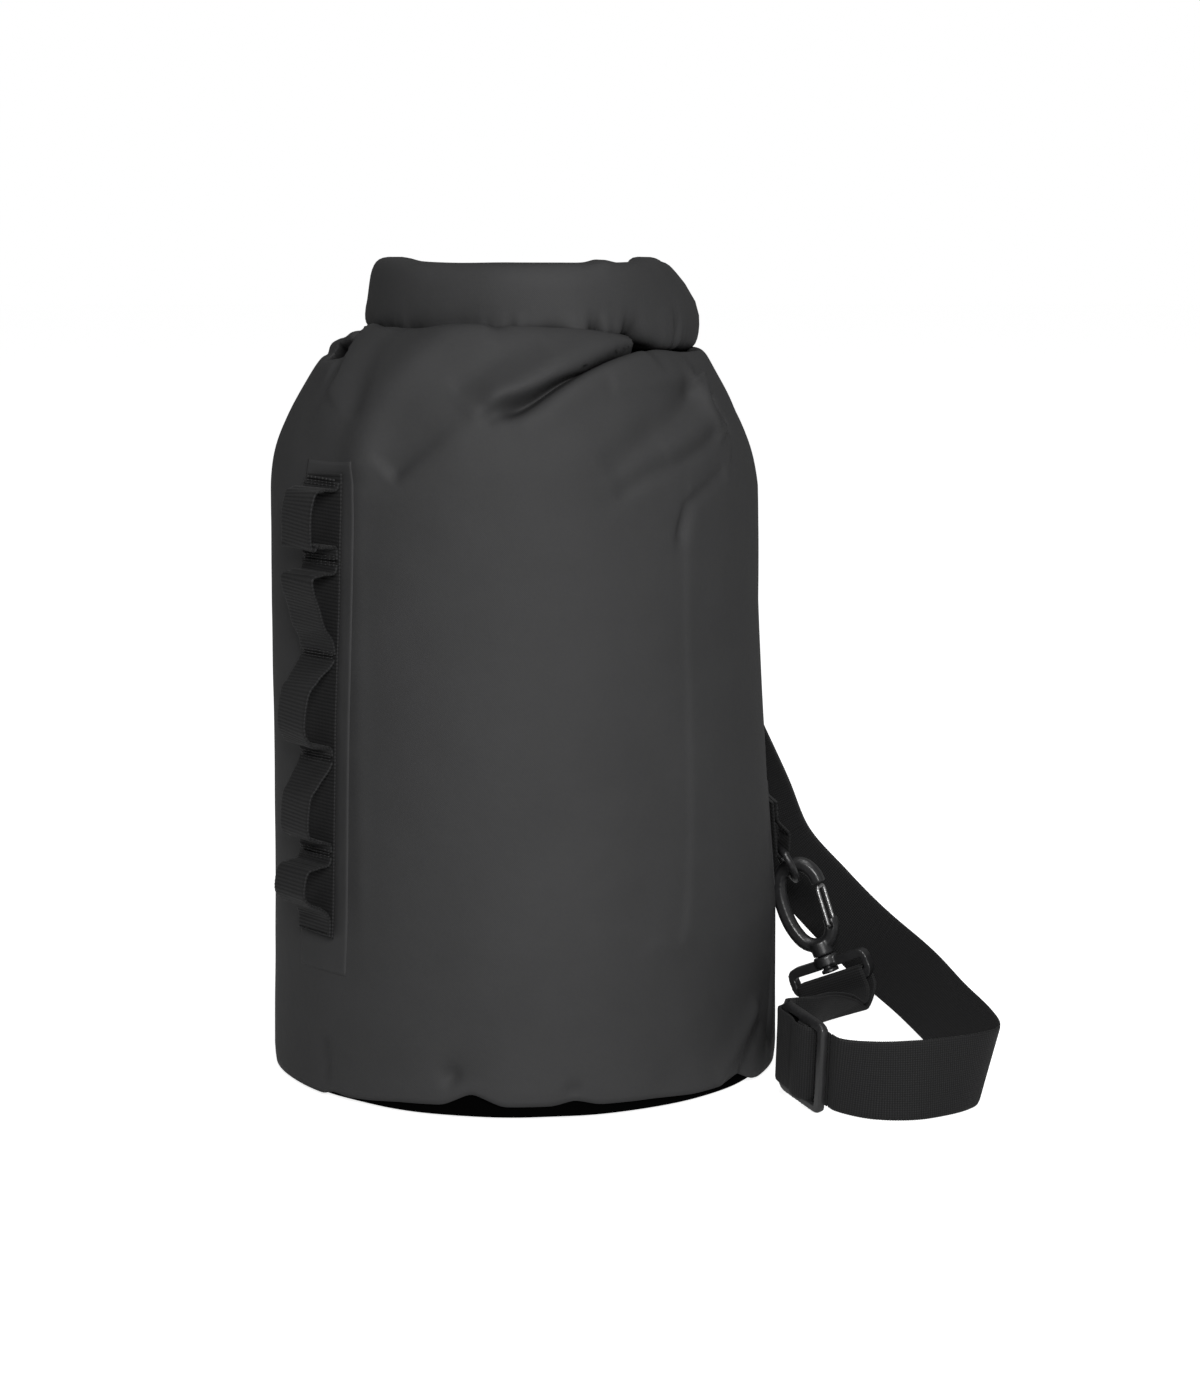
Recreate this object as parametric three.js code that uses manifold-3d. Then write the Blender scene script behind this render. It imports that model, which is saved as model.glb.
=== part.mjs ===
// Roll-top rope bag: a welded coated-fabric dry bag that stands on its round base, with a rolled and
// buckled mouth, a daisy chain of webbing on its left side, two hanging rings and a shoulder strap.
// Millimetres, +Z up. The origin is the centre of the base on the floor and -Y is the bag's front.
import * as THREE from "three";
import { mergeVertices } from "three/addons/utils/BufferGeometryUtils.js";
import Module from "manifold-3d";

const wasm = await Module();
wasm.setup();

// ---- Driving dimensions ----
const GAP = 0.3; // between touching pieces
const WALL = 1.2; // coated fabric, with its weld allowance
const WALL_BOTTOM = 5;
const ROOF_Z = 350;
// Outer radius of the fabric tube at heights above the floor: full at the base, drawn in at the shoulder
const WALL_OUTLINE = [
  [124.6, WALL_BOTTOM], [124.8, 30], [124, 80], [121.8, 130], [120.2, 180], [118.7, 230],
  [118.2, 280], [116.5, 295], [110.4, 314], [101.5, 333], [90, 347], [84, ROOF_Z],
];
const BASE = { flat: 112, rim: 124.3, seat: 4.6, flange: 122.9, flangeTop: 18, thick: 1.4 };

const ROLL = {
  x: 6,
  halfWidth: 68,
  halfDepth: 76,
  thick: 24,
  height: 37,
  z: 376,
  endAngle: 150,
  endDrop: 6,
};
const STIFFENER = { width: 25, thick: 1.6, clearance: 1.2, endAngle: 145 };
const MOUTH = { halfLength: 45, width: 10, y: -62 };

const WEB = { thick: 1.5, narrow: 25, wide: 38, clear: 0.4 };
const PATCH = { thick: 0.8, halfAngle: 8.6, bottom: 62, top: 305 };
// The daisy chain leans a little: its centre line's azimuth, in degrees from the front, at two heights
const DAISY = { topZ: 299, bottomZ: 80, topAngle: -45.5, bottomAngle: -50, rise: 10 };
const DAISY_STITCHES = [296, 259, 214, 166, 120, 80];

const RING = { wire: 2, halfInner: 13.6, drop: 18.5, bow: 13.5, stand: 5.3 };
const TAB_LENGTH = 34;
const RING_PATCH = { halfAngle: 9.5, above: 42, below: 20 };
const HOOK = { reach: 40, width: 7, depth: 7, wire: 1, pivot: [9.5, 12], gateTop: 32 };
const EYE = { halfLength: 23, halfSlot: 19.6, top: -3, slotTop: -8, slotBottom: -13.5, bottom: -18.5 };
const EYE_DEPTH = 6;
const POST = { radius: 3, hole: 3.4, boss: 6.2, head: 4.5 };
// Where each clip hangs: azimuth behind the bag's right side, ring height and the way its hook points
const LOWER_CLIP = {
  angle: 9,
  z: 101,
  tilt: 28,
  up: [-0.36, 0.15, 0.92],
  gate: [0.93, -0.36, 0],
  eye: [0.84, -0.45, 0.25],
};
const UPPER_CLIP = {
  angle: 50,
  z: 273,
  tilt: 40,
  up: [-0.12, 0.1, 0.98],
  gate: [0.68, 0.73, 0],
  eye: [-0.73, 0.68, 0.2],
};

const GLIDE = { centre: [133, -102, 25.5], along: [0.54, -0.82, -0.2], height: [0.04, -0.25, 0.96] };
const GLIDE_FRAME = { halfLength: 16, halfHeight: 23, halfSlot: 19.5, bar: 4, centreBar: 5, depth: 3 };

const BUCKLE = { x: 6, y: 77, z: 370, halfHeight: 16.5, depth: 10, halfLength: 30, bar: 4 };
const ARM = { root: 6.4, depth: 5.6 };

// ---- Materials ----
function look(color, roughness, metalness = 0) {
  return new THREE.MeshStandardMaterial({ color, roughness, metalness });
}
const coated = look(0x3a3a3a, 0.75);
const blackCoated = look(0x111111, 0.7);
const webbing = look(0x1c1c1c, 0.9);
const plastic = look(0x161616, 0.45);
const stiffening = look(0xc8c8c0, 0.6);
const steel = look(0xb8b8b8, 0.3, 1);

// ---- Geometry helpers ----
const vec = (x, y, z) => new THREE.Vector3(x, y, z);
const radians = THREE.MathUtils.degToRad;

// A closed body from points and triangles, turned so that its faces point out
function body(points, triangles) {
  let volume = 0;
  for (const [a, b, c] of triangles) {
    volume += points[a].dot(points[b].clone().cross(points[c]));
  }
  const facing = volume < 0 ? triangles.map(([a, b, c]) => [a, c, b]) : triangles;
  const geometry = new THREE.BufferGeometry();
  const flat = points.flatMap((p) => p.toArray());
  geometry.setAttribute("position", new THREE.Float32BufferAttribute(flat, 3));
  geometry.setIndex(facing.flat());
  return geometry;
}

// Joins equal rings of points into a skin: closed end to end, or capped at both ends
function skin(rings, closed = false) {
  const count = rings[0].length;
  const triangles = [];
  const spans = closed ? rings.length : rings.length - 1;
  for (let i = 0; i < spans; i++) {
    const here = i * count;
    const next = ((i + 1) % rings.length) * count;
    for (let j = 0; j < count; j++) {
      const k = (j + 1) % count;
      triangles.push([here + j, here + k, next + k], [here + j, next + k, next + j]);
    }
  }
  if (!closed) {
    const last = (rings.length - 1) * count;
    for (let j = 1; j < count - 1; j++) {
      triangles.push([0, j + 1, j], [last, last + j, last + j + 1]);
    }
  }
  return body(rings.flat(), triangles);
}

// Moves a section, given as [across, along up] pairs, down a line of points
function sweep(points, ups, section, closed = false) {
  const last = points.length - 1;
  const rings = points.map((point, i) => {
    const before = points[closed ? (i + last) % (last + 1) : Math.max(0, i - 1)];
    const after = points[closed ? (i + 1) % (last + 1) : Math.min(last, i + 1)];
    const forward = after.clone().sub(before).normalize();
    const up = (Array.isArray(ups) ? ups[i] : ups).clone();
    up.addScaledVector(forward, -up.dot(forward)).normalize();
    const across = forward.clone().cross(up);
    return section.map(([a, b]) => point.clone().addScaledVector(across, a).addScaledVector(up, b));
  });
  return skin(rings, closed);
}

function roundSection(radius, sides) {
  return Array.from({ length: sides }, (_, i) => {
    const angle = (2 * Math.PI * (i + 0.5)) / sides;
    return [radius * Math.cos(angle), radius * Math.sin(angle)];
  });
}

// A rectangle with cut corners
function blockSection(width, height, corner) {
  const x = width / 2;
  const y = height / 2;
  return [
    [x, y - corner], [x - corner, y], [corner - x, y], [-x, y - corner],
    [-x, corner - y], [corner - x, -y], [x - corner, -y], [x, corner - y],
  ];
}

const strapSection = (width) => blockSection(WEB.thick, width, 0.5);

// A smooth line through chosen points, with a direction carried along it and equal steps in each span
function route(stations, stepsPerSpan) {
  const steps = (stations.length - 1) * stepsPerSpan;
  const through = (list) => new THREE.CatmullRomCurve3(list, false, "centripetal");
  const line = through(stations.map((s) => vec(...s.at)));
  const ways = through(stations.map((s) => vec(...s.up).normalize()));
  const points = [];
  const ups = [];
  for (let i = 0; i <= steps; i++) {
    points.push(line.getPoint(i / steps));
    ups.push(ways.getPoint(i / steps).normalize());
  }
  return { points, ups };
}

// A sheet of even thickness over pointAt(u, v), with u and v from 0 to 1
function sheet(pointAt, columns, rows, thickness) {
  const faces = [[], []];
  for (let j = 0; j <= rows; j++) {
    for (let i = 0; i <= columns; i++) {
      const u = i / columns;
      const v = j / rows;
      const across = pointAt(u + 0.001, v).sub(pointAt(u - 0.001, v));
      const upward = pointAt(u, v + 0.001).sub(pointAt(u, v - 0.001));
      const normal = across.cross(upward).normalize();
      faces[0].push(pointAt(u, v).addScaledVector(normal, thickness / 2));
      faces[1].push(pointAt(u, v).addScaledVector(normal, -thickness / 2));
    }
  }
  const stride = columns + 1;
  const side = stride * (rows + 1);
  const triangles = [];
  for (let j = 0; j < rows; j++) {
    for (let i = 0; i < columns; i++) {
      const a = j * stride + i;
      triangles.push([a, a + 1, a + stride + 1], [a, a + stride + 1, a + stride]);
      triangles.push([side + a, side + a + stride + 1, side + a + 1]);
      triangles.push([side + a, side + a + stride, side + a + stride + 1]);
    }
  }
  const rim = [];
  for (let i = 0; i < columns; i++) rim.push(i);
  for (let j = 0; j < rows; j++) rim.push(j * stride + columns);
  for (let i = columns; i > 0; i--) rim.push(rows * stride + i);
  for (let j = rows; j > 0; j--) rim.push(j * stride);
  rim.forEach((a, i) => {
    const b = rim[(i + 1) % rim.length];
    triangles.push([b, a, side + a], [b, side + a, side + b]);
  });
  return body(faces.flat(), triangles);
}

function turned(profile, segments) {
  const points = profile.map(([r, z]) => new THREE.Vector2(r, z));
  const geometry = new THREE.LatheGeometry(points, segments).rotateX(Math.PI / 2);
  const merged = merge(geometry);
  return body(merged.points, merged.triangles);
}

// Shared vertices and triangles with no width left out
function merge(geometry) {
  const plain = geometry.clone();
  plain.deleteAttribute("normal");
  plain.deleteAttribute("uv");
  const joined = mergeVertices(plain, 1e-4);
  const positions = joined.getAttribute("position");
  const points = [];
  for (let i = 0; i < positions.count; i++) {
    points.push(new THREE.Vector3().fromBufferAttribute(positions, i));
  }
  const triangles = [];
  for (let i = 0; i < joined.index.count; i += 3) {
    const [a, b, c] = [0, 1, 2].map((k) => joined.index.getX(i + k));
    if (a !== b && b !== c && c !== a) triangles.push([a, b, c]);
  }
  return { points, triangles };
}

function solid(geometry) {
  const { points, triangles } = merge(geometry);
  const facing = merge(body(points, triangles));
  return new wasm.Manifold(new wasm.Mesh({
    numProp: 3,
    vertProperties: new Float32Array(facing.points.flatMap((p) => p.toArray())),
    triVerts: new Uint32Array(facing.triangles.flat()),
  }));
}

function fromSolid(manifold) {
  const mesh = manifold.getMesh();
  const geometry = new THREE.BufferGeometry();
  const positions = new Float32Array(mesh.vertProperties);
  geometry.setAttribute("position", new THREE.BufferAttribute(positions, 3));
  geometry.setIndex(new THREE.BufferAttribute(new Uint32Array(mesh.triVerts), 1));
  return geometry;
}

function combine(added, removed = []) {
  let whole = solid(added[0]);
  for (const geometry of added.slice(1)) whole = whole.add(solid(geometry));
  for (const geometry of removed) whole = whole.subtract(solid(geometry));
  return fromSolid(whole);
}

function box(x, y, z) {
  const geometry = new THREE.BoxGeometry(x[1] - x[0], y[1] - y[0], z[1] - z[0]);
  return geometry.translate((x[0] + x[1]) / 2, (y[0] + y[1]) / 2, (z[0] + z[1]) / 2);
}

// A round bar along Z
function bar(radius, from, to, sides = 16) {
  return new THREE.CylinderGeometry(radius, radius, to - from, sides)
    .rotateX(Math.PI / 2)
    .translate(0, 0, (from + to) / 2);
}

// An outline in X and Z given a depth along Y
function plate(outline, depth) {
  const shape = new THREE.Shape(outline.map(([x, z]) => new THREE.Vector2(x, z)));
  return new THREE.ExtrudeGeometry(shape, { depth, bevelEnabled: false })
    .translate(0, 0, -depth / 2)
    .rotateX(Math.PI / 2);
}

// A pill or rounded rectangle outline between two heights
function roundedOutline(halfLength, low, high, radius) {
  const corners = [[halfLength - radius, high - radius, 0], [radius - halfLength, high - radius, 90],
    [radius - halfLength, low + radius, 180], [halfLength - radius, low + radius, 270]];
  return corners.flatMap(([x, z, start]) => [0, 30, 60, 90].map((turn) => [
    x + radius * Math.cos(radians(start + turn)),
    z + radius * Math.sin(radians(start + turn)),
  ]));
}

const bag = new THREE.Group();

function place(name, geometry, material, parent = bag) {
  const mesh = new THREE.Mesh(geometry, material);
  mesh.name = name;
  parent.add(mesh);
}

// ---- The bag's body ----
function wallRadius(z) {
  const above = Math.max(1, WALL_OUTLINE.findIndex(([, height]) => height >= z));
  const [r0, z0] = WALL_OUTLINE[above - 1];
  const [r1, z1] = WALL_OUTLINE[above];
  return THREE.MathUtils.lerp(r0, r1, (z - z0) / (z1 - z0));
}

// Point at an azimuth in degrees from the front (-Y), turning towards the bag's right (+X)
function onBag(angle, radius, z) {
  return vec(radius * Math.sin(radians(angle)), -radius * Math.cos(radians(angle)), z);
}

function sideWall() {
  const inner = WALL_OUTLINE.map(([r, z]) => [r - WALL, z]).slice(0, -1);
  const profile = [
    [0, ROOF_Z - 2 * WALL], [72, ROOF_Z - 1.5 * WALL], ...inner.reverse(),
    ...WALL_OUTLINE, [72, ROOF_Z], [0, ROOF_Z - WALL],
  ];
  const x = [ROLL.x - MOUTH.halfLength, ROLL.x + MOUTH.halfLength];
  const y = [MOUTH.y - MOUTH.width / 2, MOUTH.y + MOUTH.width / 2];
  return combine([turned(profile, 48)], [box(x, y, [ROOF_Z - 20, ROOF_Z + 5])]);
}

function basePanel() {
  const { flat, rim, seat, flange, flangeTop, thick } = BASE;
  return turned([
    [0, 0], [flat, 0], [rim - 3, 1.3], [rim, seat - 1], [rim, seat], [flange, seat], [flange, flangeTop],
    [flange - thick, flangeTop], [flange - thick, seat + 0.8], [flange - 5, thick + 1], [0, thick],
  ], 48);
}

// ---- The rolled mouth and what is inside it ----
// The roll's centre line, bent round from the front, with its two ends lower behind
function rollLine(endAngle, steps) {
  return Array.from({ length: steps + 1 }, (_, i) => {
    const turn = endAngle * ((2 * i) / steps - 1);
    const angle = radians(turn);
    const drop = ROLL.endDrop * THREE.MathUtils.smoothstep(Math.abs(turn), 90, ROLL.endAngle);
    return vec(ROLL.x + ROLL.halfWidth * Math.sin(angle), -ROLL.halfDepth * Math.cos(angle), ROLL.z - drop);
  });
}

function rollTop() {
  const up = vec(0, 0, 1);
  const pocket = blockSection(STIFFENER.thick + STIFFENER.clearance, STIFFENER.width + 2, 0.4);
  return combine(
    [sweep(rollLine(ROLL.endAngle, 36), up, blockSection(ROLL.thick, ROLL.height, 8))],
    [sweep(rollLine(ROLL.endAngle + 6, 36), up, pocket)],
  );
}

function stiffener() {
  const strip = blockSection(STIFFENER.thick, STIFFENER.width, 0.3);
  return sweep(rollLine(STIFFENER.endAngle, 36), vec(0, 0, 1), strip);
}

// ---- The buckle behind the roll ----
function buckleTab(side) {
  const end = rollLine(ROLL.endAngle, 2)[side < 0 ? 0 : 2];
  const pin = vec(BUCKLE.x + side * (BUCKLE.halfLength - BUCKLE.bar / 2), BUCKLE.y, BUCKLE.z);
  const along = pin.clone().sub(end).normalize();
  const aside = vec(-along.y, along.x, 0);
  const wrap = 2.97 + WEB.clear + WEB.thick / 2;
  const start = end.clone().addScaledVector(along, 2.6);
  const at = (base, a, b) => base.clone().addScaledVector(along, a).addScaledVector(aside, b).toArray();
  const around = [90, 60, 30, 0, -30, -60, -90].map((angle) => (
    at(pin, wrap * Math.cos(radians(angle)), wrap * Math.sin(radians(angle)))
  ));
  const line = [at(start, 0, 1.3), ...around, at(start, 0, -1.3)];
  const { points, ups } = route(line.map((p) => ({ at: p, up: [0, 0, 1] })), 3);
  return sweep(points, ups, strapSection(WEB.narrow));
}

// Both halves end in a bar that the webbing wraps, with a slot beside it
function buckleCuts(side) {
  const inner = BUCKLE.halfLength - BUCKLE.bar;
  const ordered = (a, b) => (a < b ? [a, b] : [b, a]);
  const slot = box(ordered(side * inner, side * (inner - 6)), [-9, 9], [-13, 13]);
  const reach = ordered(side * (BUCKLE.halfLength + 1), side * (inner - 1));
  const reliefs = [-1, 1].map((face) => box(reach, ordered(face * 2.2, face * 9), [-13, 13]));
  return [slot, ...reliefs];
}

function buckleFemale() {
  const { halfHeight, depth, halfLength } = BUCKLE;
  const outline = roundedOutline(18, -halfHeight, halfHeight, 4).map(([x, z]) => [x - 12, z]);
  const cavity = box([-18, 8], [-3.2, 3.2], [-13.5, 13.5]);
  const windows = box([-14, -2], [-3.2, 3.2], [-halfHeight - 2, halfHeight + 2]);
  const beyond = box([-halfLength - 5, -halfLength], [-9, 9], [-20, 20]);
  return combine([plate(outline, depth)], [...buckleCuts(-1), cavity, windows, beyond]);
}

function buckleMale() {
  const { halfHeight } = BUCKLE;
  const outline = roundedOutline(11.4, -halfHeight, halfHeight, 4).map(([x, z]) => [x + 18.6, z]);
  return combine([plate(outline, 8), box([-14, 8], [-2, 2], [-3, 3])], buckleCuts(1));
}

function buckleArm(side) {
  const outline = [
    [ARM.root, 9.3], [ARM.root, 12.4], [-2.6, 12.6], [-2.6, 15.8],
    [-6, 16.2], [-11, 14.6], [-13.4, 11.5], [-13.4, 9.6],
  ];
  return plate(outline.map(([x, z]) => [x, side * z]), ARM.depth);
}

// ---- The daisy chain on the bag's left side ----
function daisyAngle(z) {
  const share = (z - DAISY.bottomZ) / (DAISY.topZ - DAISY.bottomZ);
  return THREE.MathUtils.lerp(DAISY.bottomAngle, DAISY.topAngle, share);
}

// A panel that follows the wall, with a row of points at each height where the wall's outline turns
function panelOnWall(angleAt, halfAngle, low, high, stand, thick, columns) {
  const turns = WALL_OUTLINE.map(([, z]) => z).filter((z) => z > low + 2 && z < high - 2);
  const heights = [low, ...turns, high];
  const rows = heights.length - 1;
  return sheet((u, v) => {
    const row = THREE.MathUtils.clamp(Math.floor(v * rows + 1e-6), 0, rows - 1);
    const z = THREE.MathUtils.lerp(heights[row], heights[row + 1], v * rows - row);
    return onBag(angleAt(z) + halfAngle * (2 * u - 1), wallRadius(z) + stand + thick / 2, z);
  }, columns, rows, thick);
}

const webbingHalfAngle = THREE.MathUtils.radToDeg(WEB.narrow / 2 / 124);
const backingStand = GAP + PATCH.thick + GAP;
const loopStand = backingStand + WEB.thick + GAP;

function daisyLoop(top, bottom) {
  return sheet((u, v) => {
    const z = THREE.MathUtils.lerp(bottom + GAP / 2, top - GAP / 2, v);
    const arch = Math.sin(Math.PI * THREE.MathUtils.clamp((v - 0.12) / 0.76, 0, 1));
    const bulge = DAISY.rise * arch ** 1.5;
    const radius = wallRadius(z) + loopStand + WEB.thick / 2 + bulge;
    return onBag(daisyAngle(z) + webbingHalfAngle * (2 * u - 1), radius, z);
  }, 4, 18, WEB.thick);
}

// ---- Rings, snap hooks and their swivel eyes ----
// A frame whose Z is `up` and whose X lies as near to `side` as it can
function frameAt(origin, up, side) {
  const z = vec(...up).normalize();
  const x = vec(...side);
  x.addScaledVector(z, -x.dot(z)).normalize();
  const group = new THREE.Group();
  group.matrix.makeBasis(x, z.clone().cross(x), z).setPosition(origin);
  group.matrix.decompose(group.position, group.quaternion, group.scale);
  bag.add(group);
  return group;
}

function clipFrames(clip) {
  const azimuth = 90 + clip.angle;
  const hinge = onBag(azimuth, wallRadius(clip.z) + RING.stand, clip.z);
  const outward = onBag(azimuth, 1, 0);
  const tangent = vec(-outward.y, outward.x, 0);
  const tilt = radians(clip.tilt);
  const down = outward.clone().multiplyScalar(Math.sin(tilt)).add(vec(0, 0, -Math.cos(tilt)));
  const apex = hinge.clone().addScaledVector(down, RING.drop);
  const foot = apex.clone().addScaledVector(vec(...clip.up).normalize(), -HOOK.reach);
  return {
    azimuth,
    ring: frameAt(hinge, down.clone().negate().toArray(), tangent.toArray()),
    hook: frameAt(foot, clip.up, clip.gate),
    eye: frameAt(foot, clip.up, clip.eye),
  };
}

// The ring's straight bar lies on local X, and its bow hangs towards -Z
function ringSolid() {
  const half = RING.halfInner + RING.wire;
  const line = [vec(0, 0, 0), vec(half - 3, 0, 0), vec(half - 0.8, 0, -0.9)];
  for (let angle = 0; angle <= 180; angle += 15) {
    const drop = RING.drop - RING.bow + RING.bow * Math.sin(radians(angle));
    line.push(vec(half * Math.cos(radians(angle)), 0, -drop));
  }
  line.push(vec(0.8 - half, 0, -0.9), vec(3 - half, 0, 0));
  return sweep(line, vec(0, 1, 0), roundSection(RING.wire, 8), true);
}

function ringTab(clip) {
  const wrap = RING.wire + WEB.clear + WEB.thick / 2;
  const profile = [TAB_LENGTH, 14, 6, 2].map((z) => [RING.stand - wrap, z]);
  for (let angle = 180; angle <= 360; angle += 30) {
    profile.push([RING.stand + wrap * Math.cos(radians(angle)), wrap * Math.sin(radians(angle))]);
  }
  const front = RING.stand - wrap + WEB.thick + WEB.clear;
  profile.push([front + 5.4, 5], [front + 6, 10], [front + 2.6, 16], [front, 22], [front, TAB_LENGTH]);
  const section = profile.map(([r, z]) => vec(r, 0, z));
  const line = new THREE.CatmullRomCurve3(section, false, "centripetal");
  const wall = wallRadius(clip.z);
  const azimuth = radians(90 + clip.angle);
  const outward = vec(Math.sin(azimuth), -Math.cos(azimuth), 0);
  const along = vec(Math.cos(azimuth), Math.sin(azimuth), 0);
  const points = line.getSpacedPoints(40).map((p) => {
    const lean = wallRadius(clip.z + Math.max(0, p.z)) - wall;
    return outward.clone().multiplyScalar(wall + lean + p.x).add(vec(0, 0, clip.z + p.z));
  });
  return { points, along };
}

// A snap hook: its spine is an open bow in X and Z whose gap the wire gate closes
function hookBody() {
  const spine = [[9.8, 15.5], [9.4, 11], [5.5, 5.6], [0, 4], [-6.5, 7], [-10.6, 16], [-11.4, 28],
    [-9.6, 38.5], [-4.6, 45.2], [1.4, 47], [7.4, 44.4], [10.6, 38.5], [10.9, 34]];
  const points = spine.map(([x, z]) => vec(x, 0, z));
  const line = new THREE.CatmullRomCurve3(points, false, "centripetal");
  const bow = sweep(line.getSpacedPoints(44), vec(0, 1, 0), blockSection(HOOK.width, HOOK.depth, 1.8));
  const hub = bar(5.6, -1, 6, 20);
  const post = bar(POST.radius, EYE.slotTop - 1, 2);
  const head = bar(POST.head, EYE.slotTop - 2.4, EYE.slotTop - 0.5, 20);
  const [x, z] = HOOK.pivot;
  const hole = bar(HOOK.wire + 0.5, -10, 10).rotateX(Math.PI / 2).translate(x, 0, z);
  return combine([bow, hub, post, head], [hole]);
}

function wireGate() {
  const [x, z] = HOOK.pivot;
  const out = HOOK.depth / 2 + WEB.clear + HOOK.wire;
  const top = [10.9, HOOK.gateTop];
  const line = [[x, -1.2, z], [x, -out + 0.8, z], [x, -out, z + 0.8], [top[0], -out, top[1] - 1],
    [top[0], -out + 1, top[1]], [top[0], 0, top[1]], [top[0], out - 1, top[1]], [top[0], out, top[1] - 1],
    [x, out, z + 0.8], [x, out - 0.8, z], [x, 1.2, z]].map((p) => vec(...p));
  return sweep(line, vec(1, 0, 0), roundSection(HOOK.wire, 8));
}

function swivelEye() {
  const outline = roundedOutline(EYE.halfLength, EYE.bottom, EYE.top, 5);
  const slot = box([-EYE.halfSlot, EYE.halfSlot], [-9, 9], [EYE.slotBottom, EYE.slotTop]);
  const hole = bar(POST.hole, EYE.slotTop - 1, 1);
  const boss = bar(POST.boss, EYE.slotTop + 1.5, -1.5, 20);
  return combine([plate(outline, EYE_DEPTH), boss], [slot, hole]);
}

function addClip(name, clip) {
  const frames = clipFrames(clip);
  const tab = ringTab(clip);
  const { halfAngle, above, below } = RING_PATCH;
  const low = clip.z - below;
  const patch = panelOnWall(() => frames.azimuth, halfAngle, low, clip.z + above, GAP, PATCH.thick, 8);
  place(`${name}_ring_patch`, patch, coated);
  place(`${name}_ring_tab`, sweep(tab.points, tab.along, strapSection(WEB.narrow)), webbing);
  place(`${name}_ring`, ringSolid(), plastic, frames.ring);
  place(`${name}_hook_body`, hookBody(), plastic, frames.hook);
  place(`${name}_hook_gate`, wireGate(), steel, frames.hook);
  place(`${name}_hook_eye`, swivelEye(), plastic, frames.eye);
  return frames;
}

// ---- The shoulder strap ----
// A point in a clip's eye frame, as a list in the bag's frame
function fromEye(frames, x, y, z) {
  return vec(x, y, z).applyQuaternion(frames.eye.quaternion).add(frames.eye.position).toArray();
}

function eyeWidth(frames) {
  return vec(1, 0, 0).applyQuaternion(frames.eye.quaternion).toArray();
}

// Around the eye's lower bar, from its back face over the top to its front face
function wrapOfEye(frames, away) {
  const middle = (EYE.slotBottom + EYE.bottom) / 2;
  const half = EYE_DEPTH / 2 + 1.5 * WEB.clear + WEB.thick / 2;
  const rise = (EYE.slotBottom - EYE.bottom) / 2 + 1.5 * WEB.clear + WEB.thick / 2;
  const shape = [[-half, -7], [-half, 1.2], [0.5 - half, rise - 0.5], [-1.2, rise], [1.2, rise],
    [half - 0.5, rise - 0.5], [half, 1.2], [half, -7]];
  return shape.map(([y, z]) => ({ at: fromEye(frames, 0, away * y, middle + z), up: eyeWidth(frames) }));
}

const glideAxes = (() => {
  const along = vec(...GLIDE.along).normalize();
  const height = vec(...GLIDE.height);
  height.addScaledVector(along, -height.dot(along)).normalize();
  return { along, height, face: along.clone().cross(height) };
})();

// A point beside the tri-glide: along the strap and towards its face
function atGlide(along, face) {
  return vec(...GLIDE.centre)
    .addScaledVector(glideAxes.along, along)
    .addScaledVector(glideAxes.face, face)
    .toArray();
}

const glideUp = glideAxes.height.toArray();
const glideDown = glideAxes.height.clone().negate().toArray();
const glideStation = (along, face, up = glideUp) => ({ at: atGlide(along, face), up });

function triGlide() {
  const { halfLength, halfHeight, halfSlot, bar: edge, centreBar, depth } = GLIDE_FRAME;
  const outline = roundedOutline(halfLength, -halfHeight, halfHeight, 4);
  const slots = [-1, 1].map((side) => {
    const near = (side * centreBar) / 2;
    const far = side * (halfLength - edge);
    return box([Math.min(near, far), Math.max(near, far)], [-9, 9], [-halfSlot, halfSlot]);
  });
  return combine([plate(outline, depth)], slots);
}

function shoulderStrap(upper) {
  const drop = (z) => ({ up: eyeWidth(upper), at: fromEye(upper, 0, 0.95, z) });
  const tail = [-52, -44, -36, -28].map((z) => ({ up: eyeWidth(upper), at: fromEye(upper, 0, -1, z) }));
  const stations = [
    ...tail, ...wrapOfEye(upper, 1), drop(-30), drop(-42),
    { at: [107, 90, 148], up: [-0.8, 0.6, 0] },
    { at: [120, 81, 118], up: [-0.78, 0.5, -0.35] },
    { at: [131, 70, 91], up: [-0.72, 0.35, -0.55] },
    { at: [152, 58, 68], up: [-0.66, 0.3, -0.66] },
    { at: [174, 40, 48], up: [-0.62, 0.3, -0.72] },
    { at: [195, 6, 35], up: [-0.5, 0.25, -0.82] },
    { at: [209, -30, 26], up: [-0.35, 0.15, -0.9] },
    { at: [219, -62, 21], up: [-0.3, 0.05, -0.95] },
    { at: [222, -82, 19.3], up: [-0.26, 0.04, -0.96] },
    { at: [220, -95, 19.3], up: [-0.23, 0.04, -0.97] },
    { at: [213, -104, 19.3], up: [-0.16, 0.04, -0.98] },
    { at: [200, -113, 19.3], up: [-0.06, 0.02, -1] },
    { at: [184, -120, 19.3], up: [0, 0, -1] },
    { at: [165, -121, 19.5], up: [0.02, 0.08, -1] },
    glideStation(22, -3.6, glideDown), glideStation(17.2, -3, glideDown),
  ];
  const { points, ups } = route(stations, 3);
  return sweep(points, ups, strapSection(WEB.wide));
}

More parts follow.
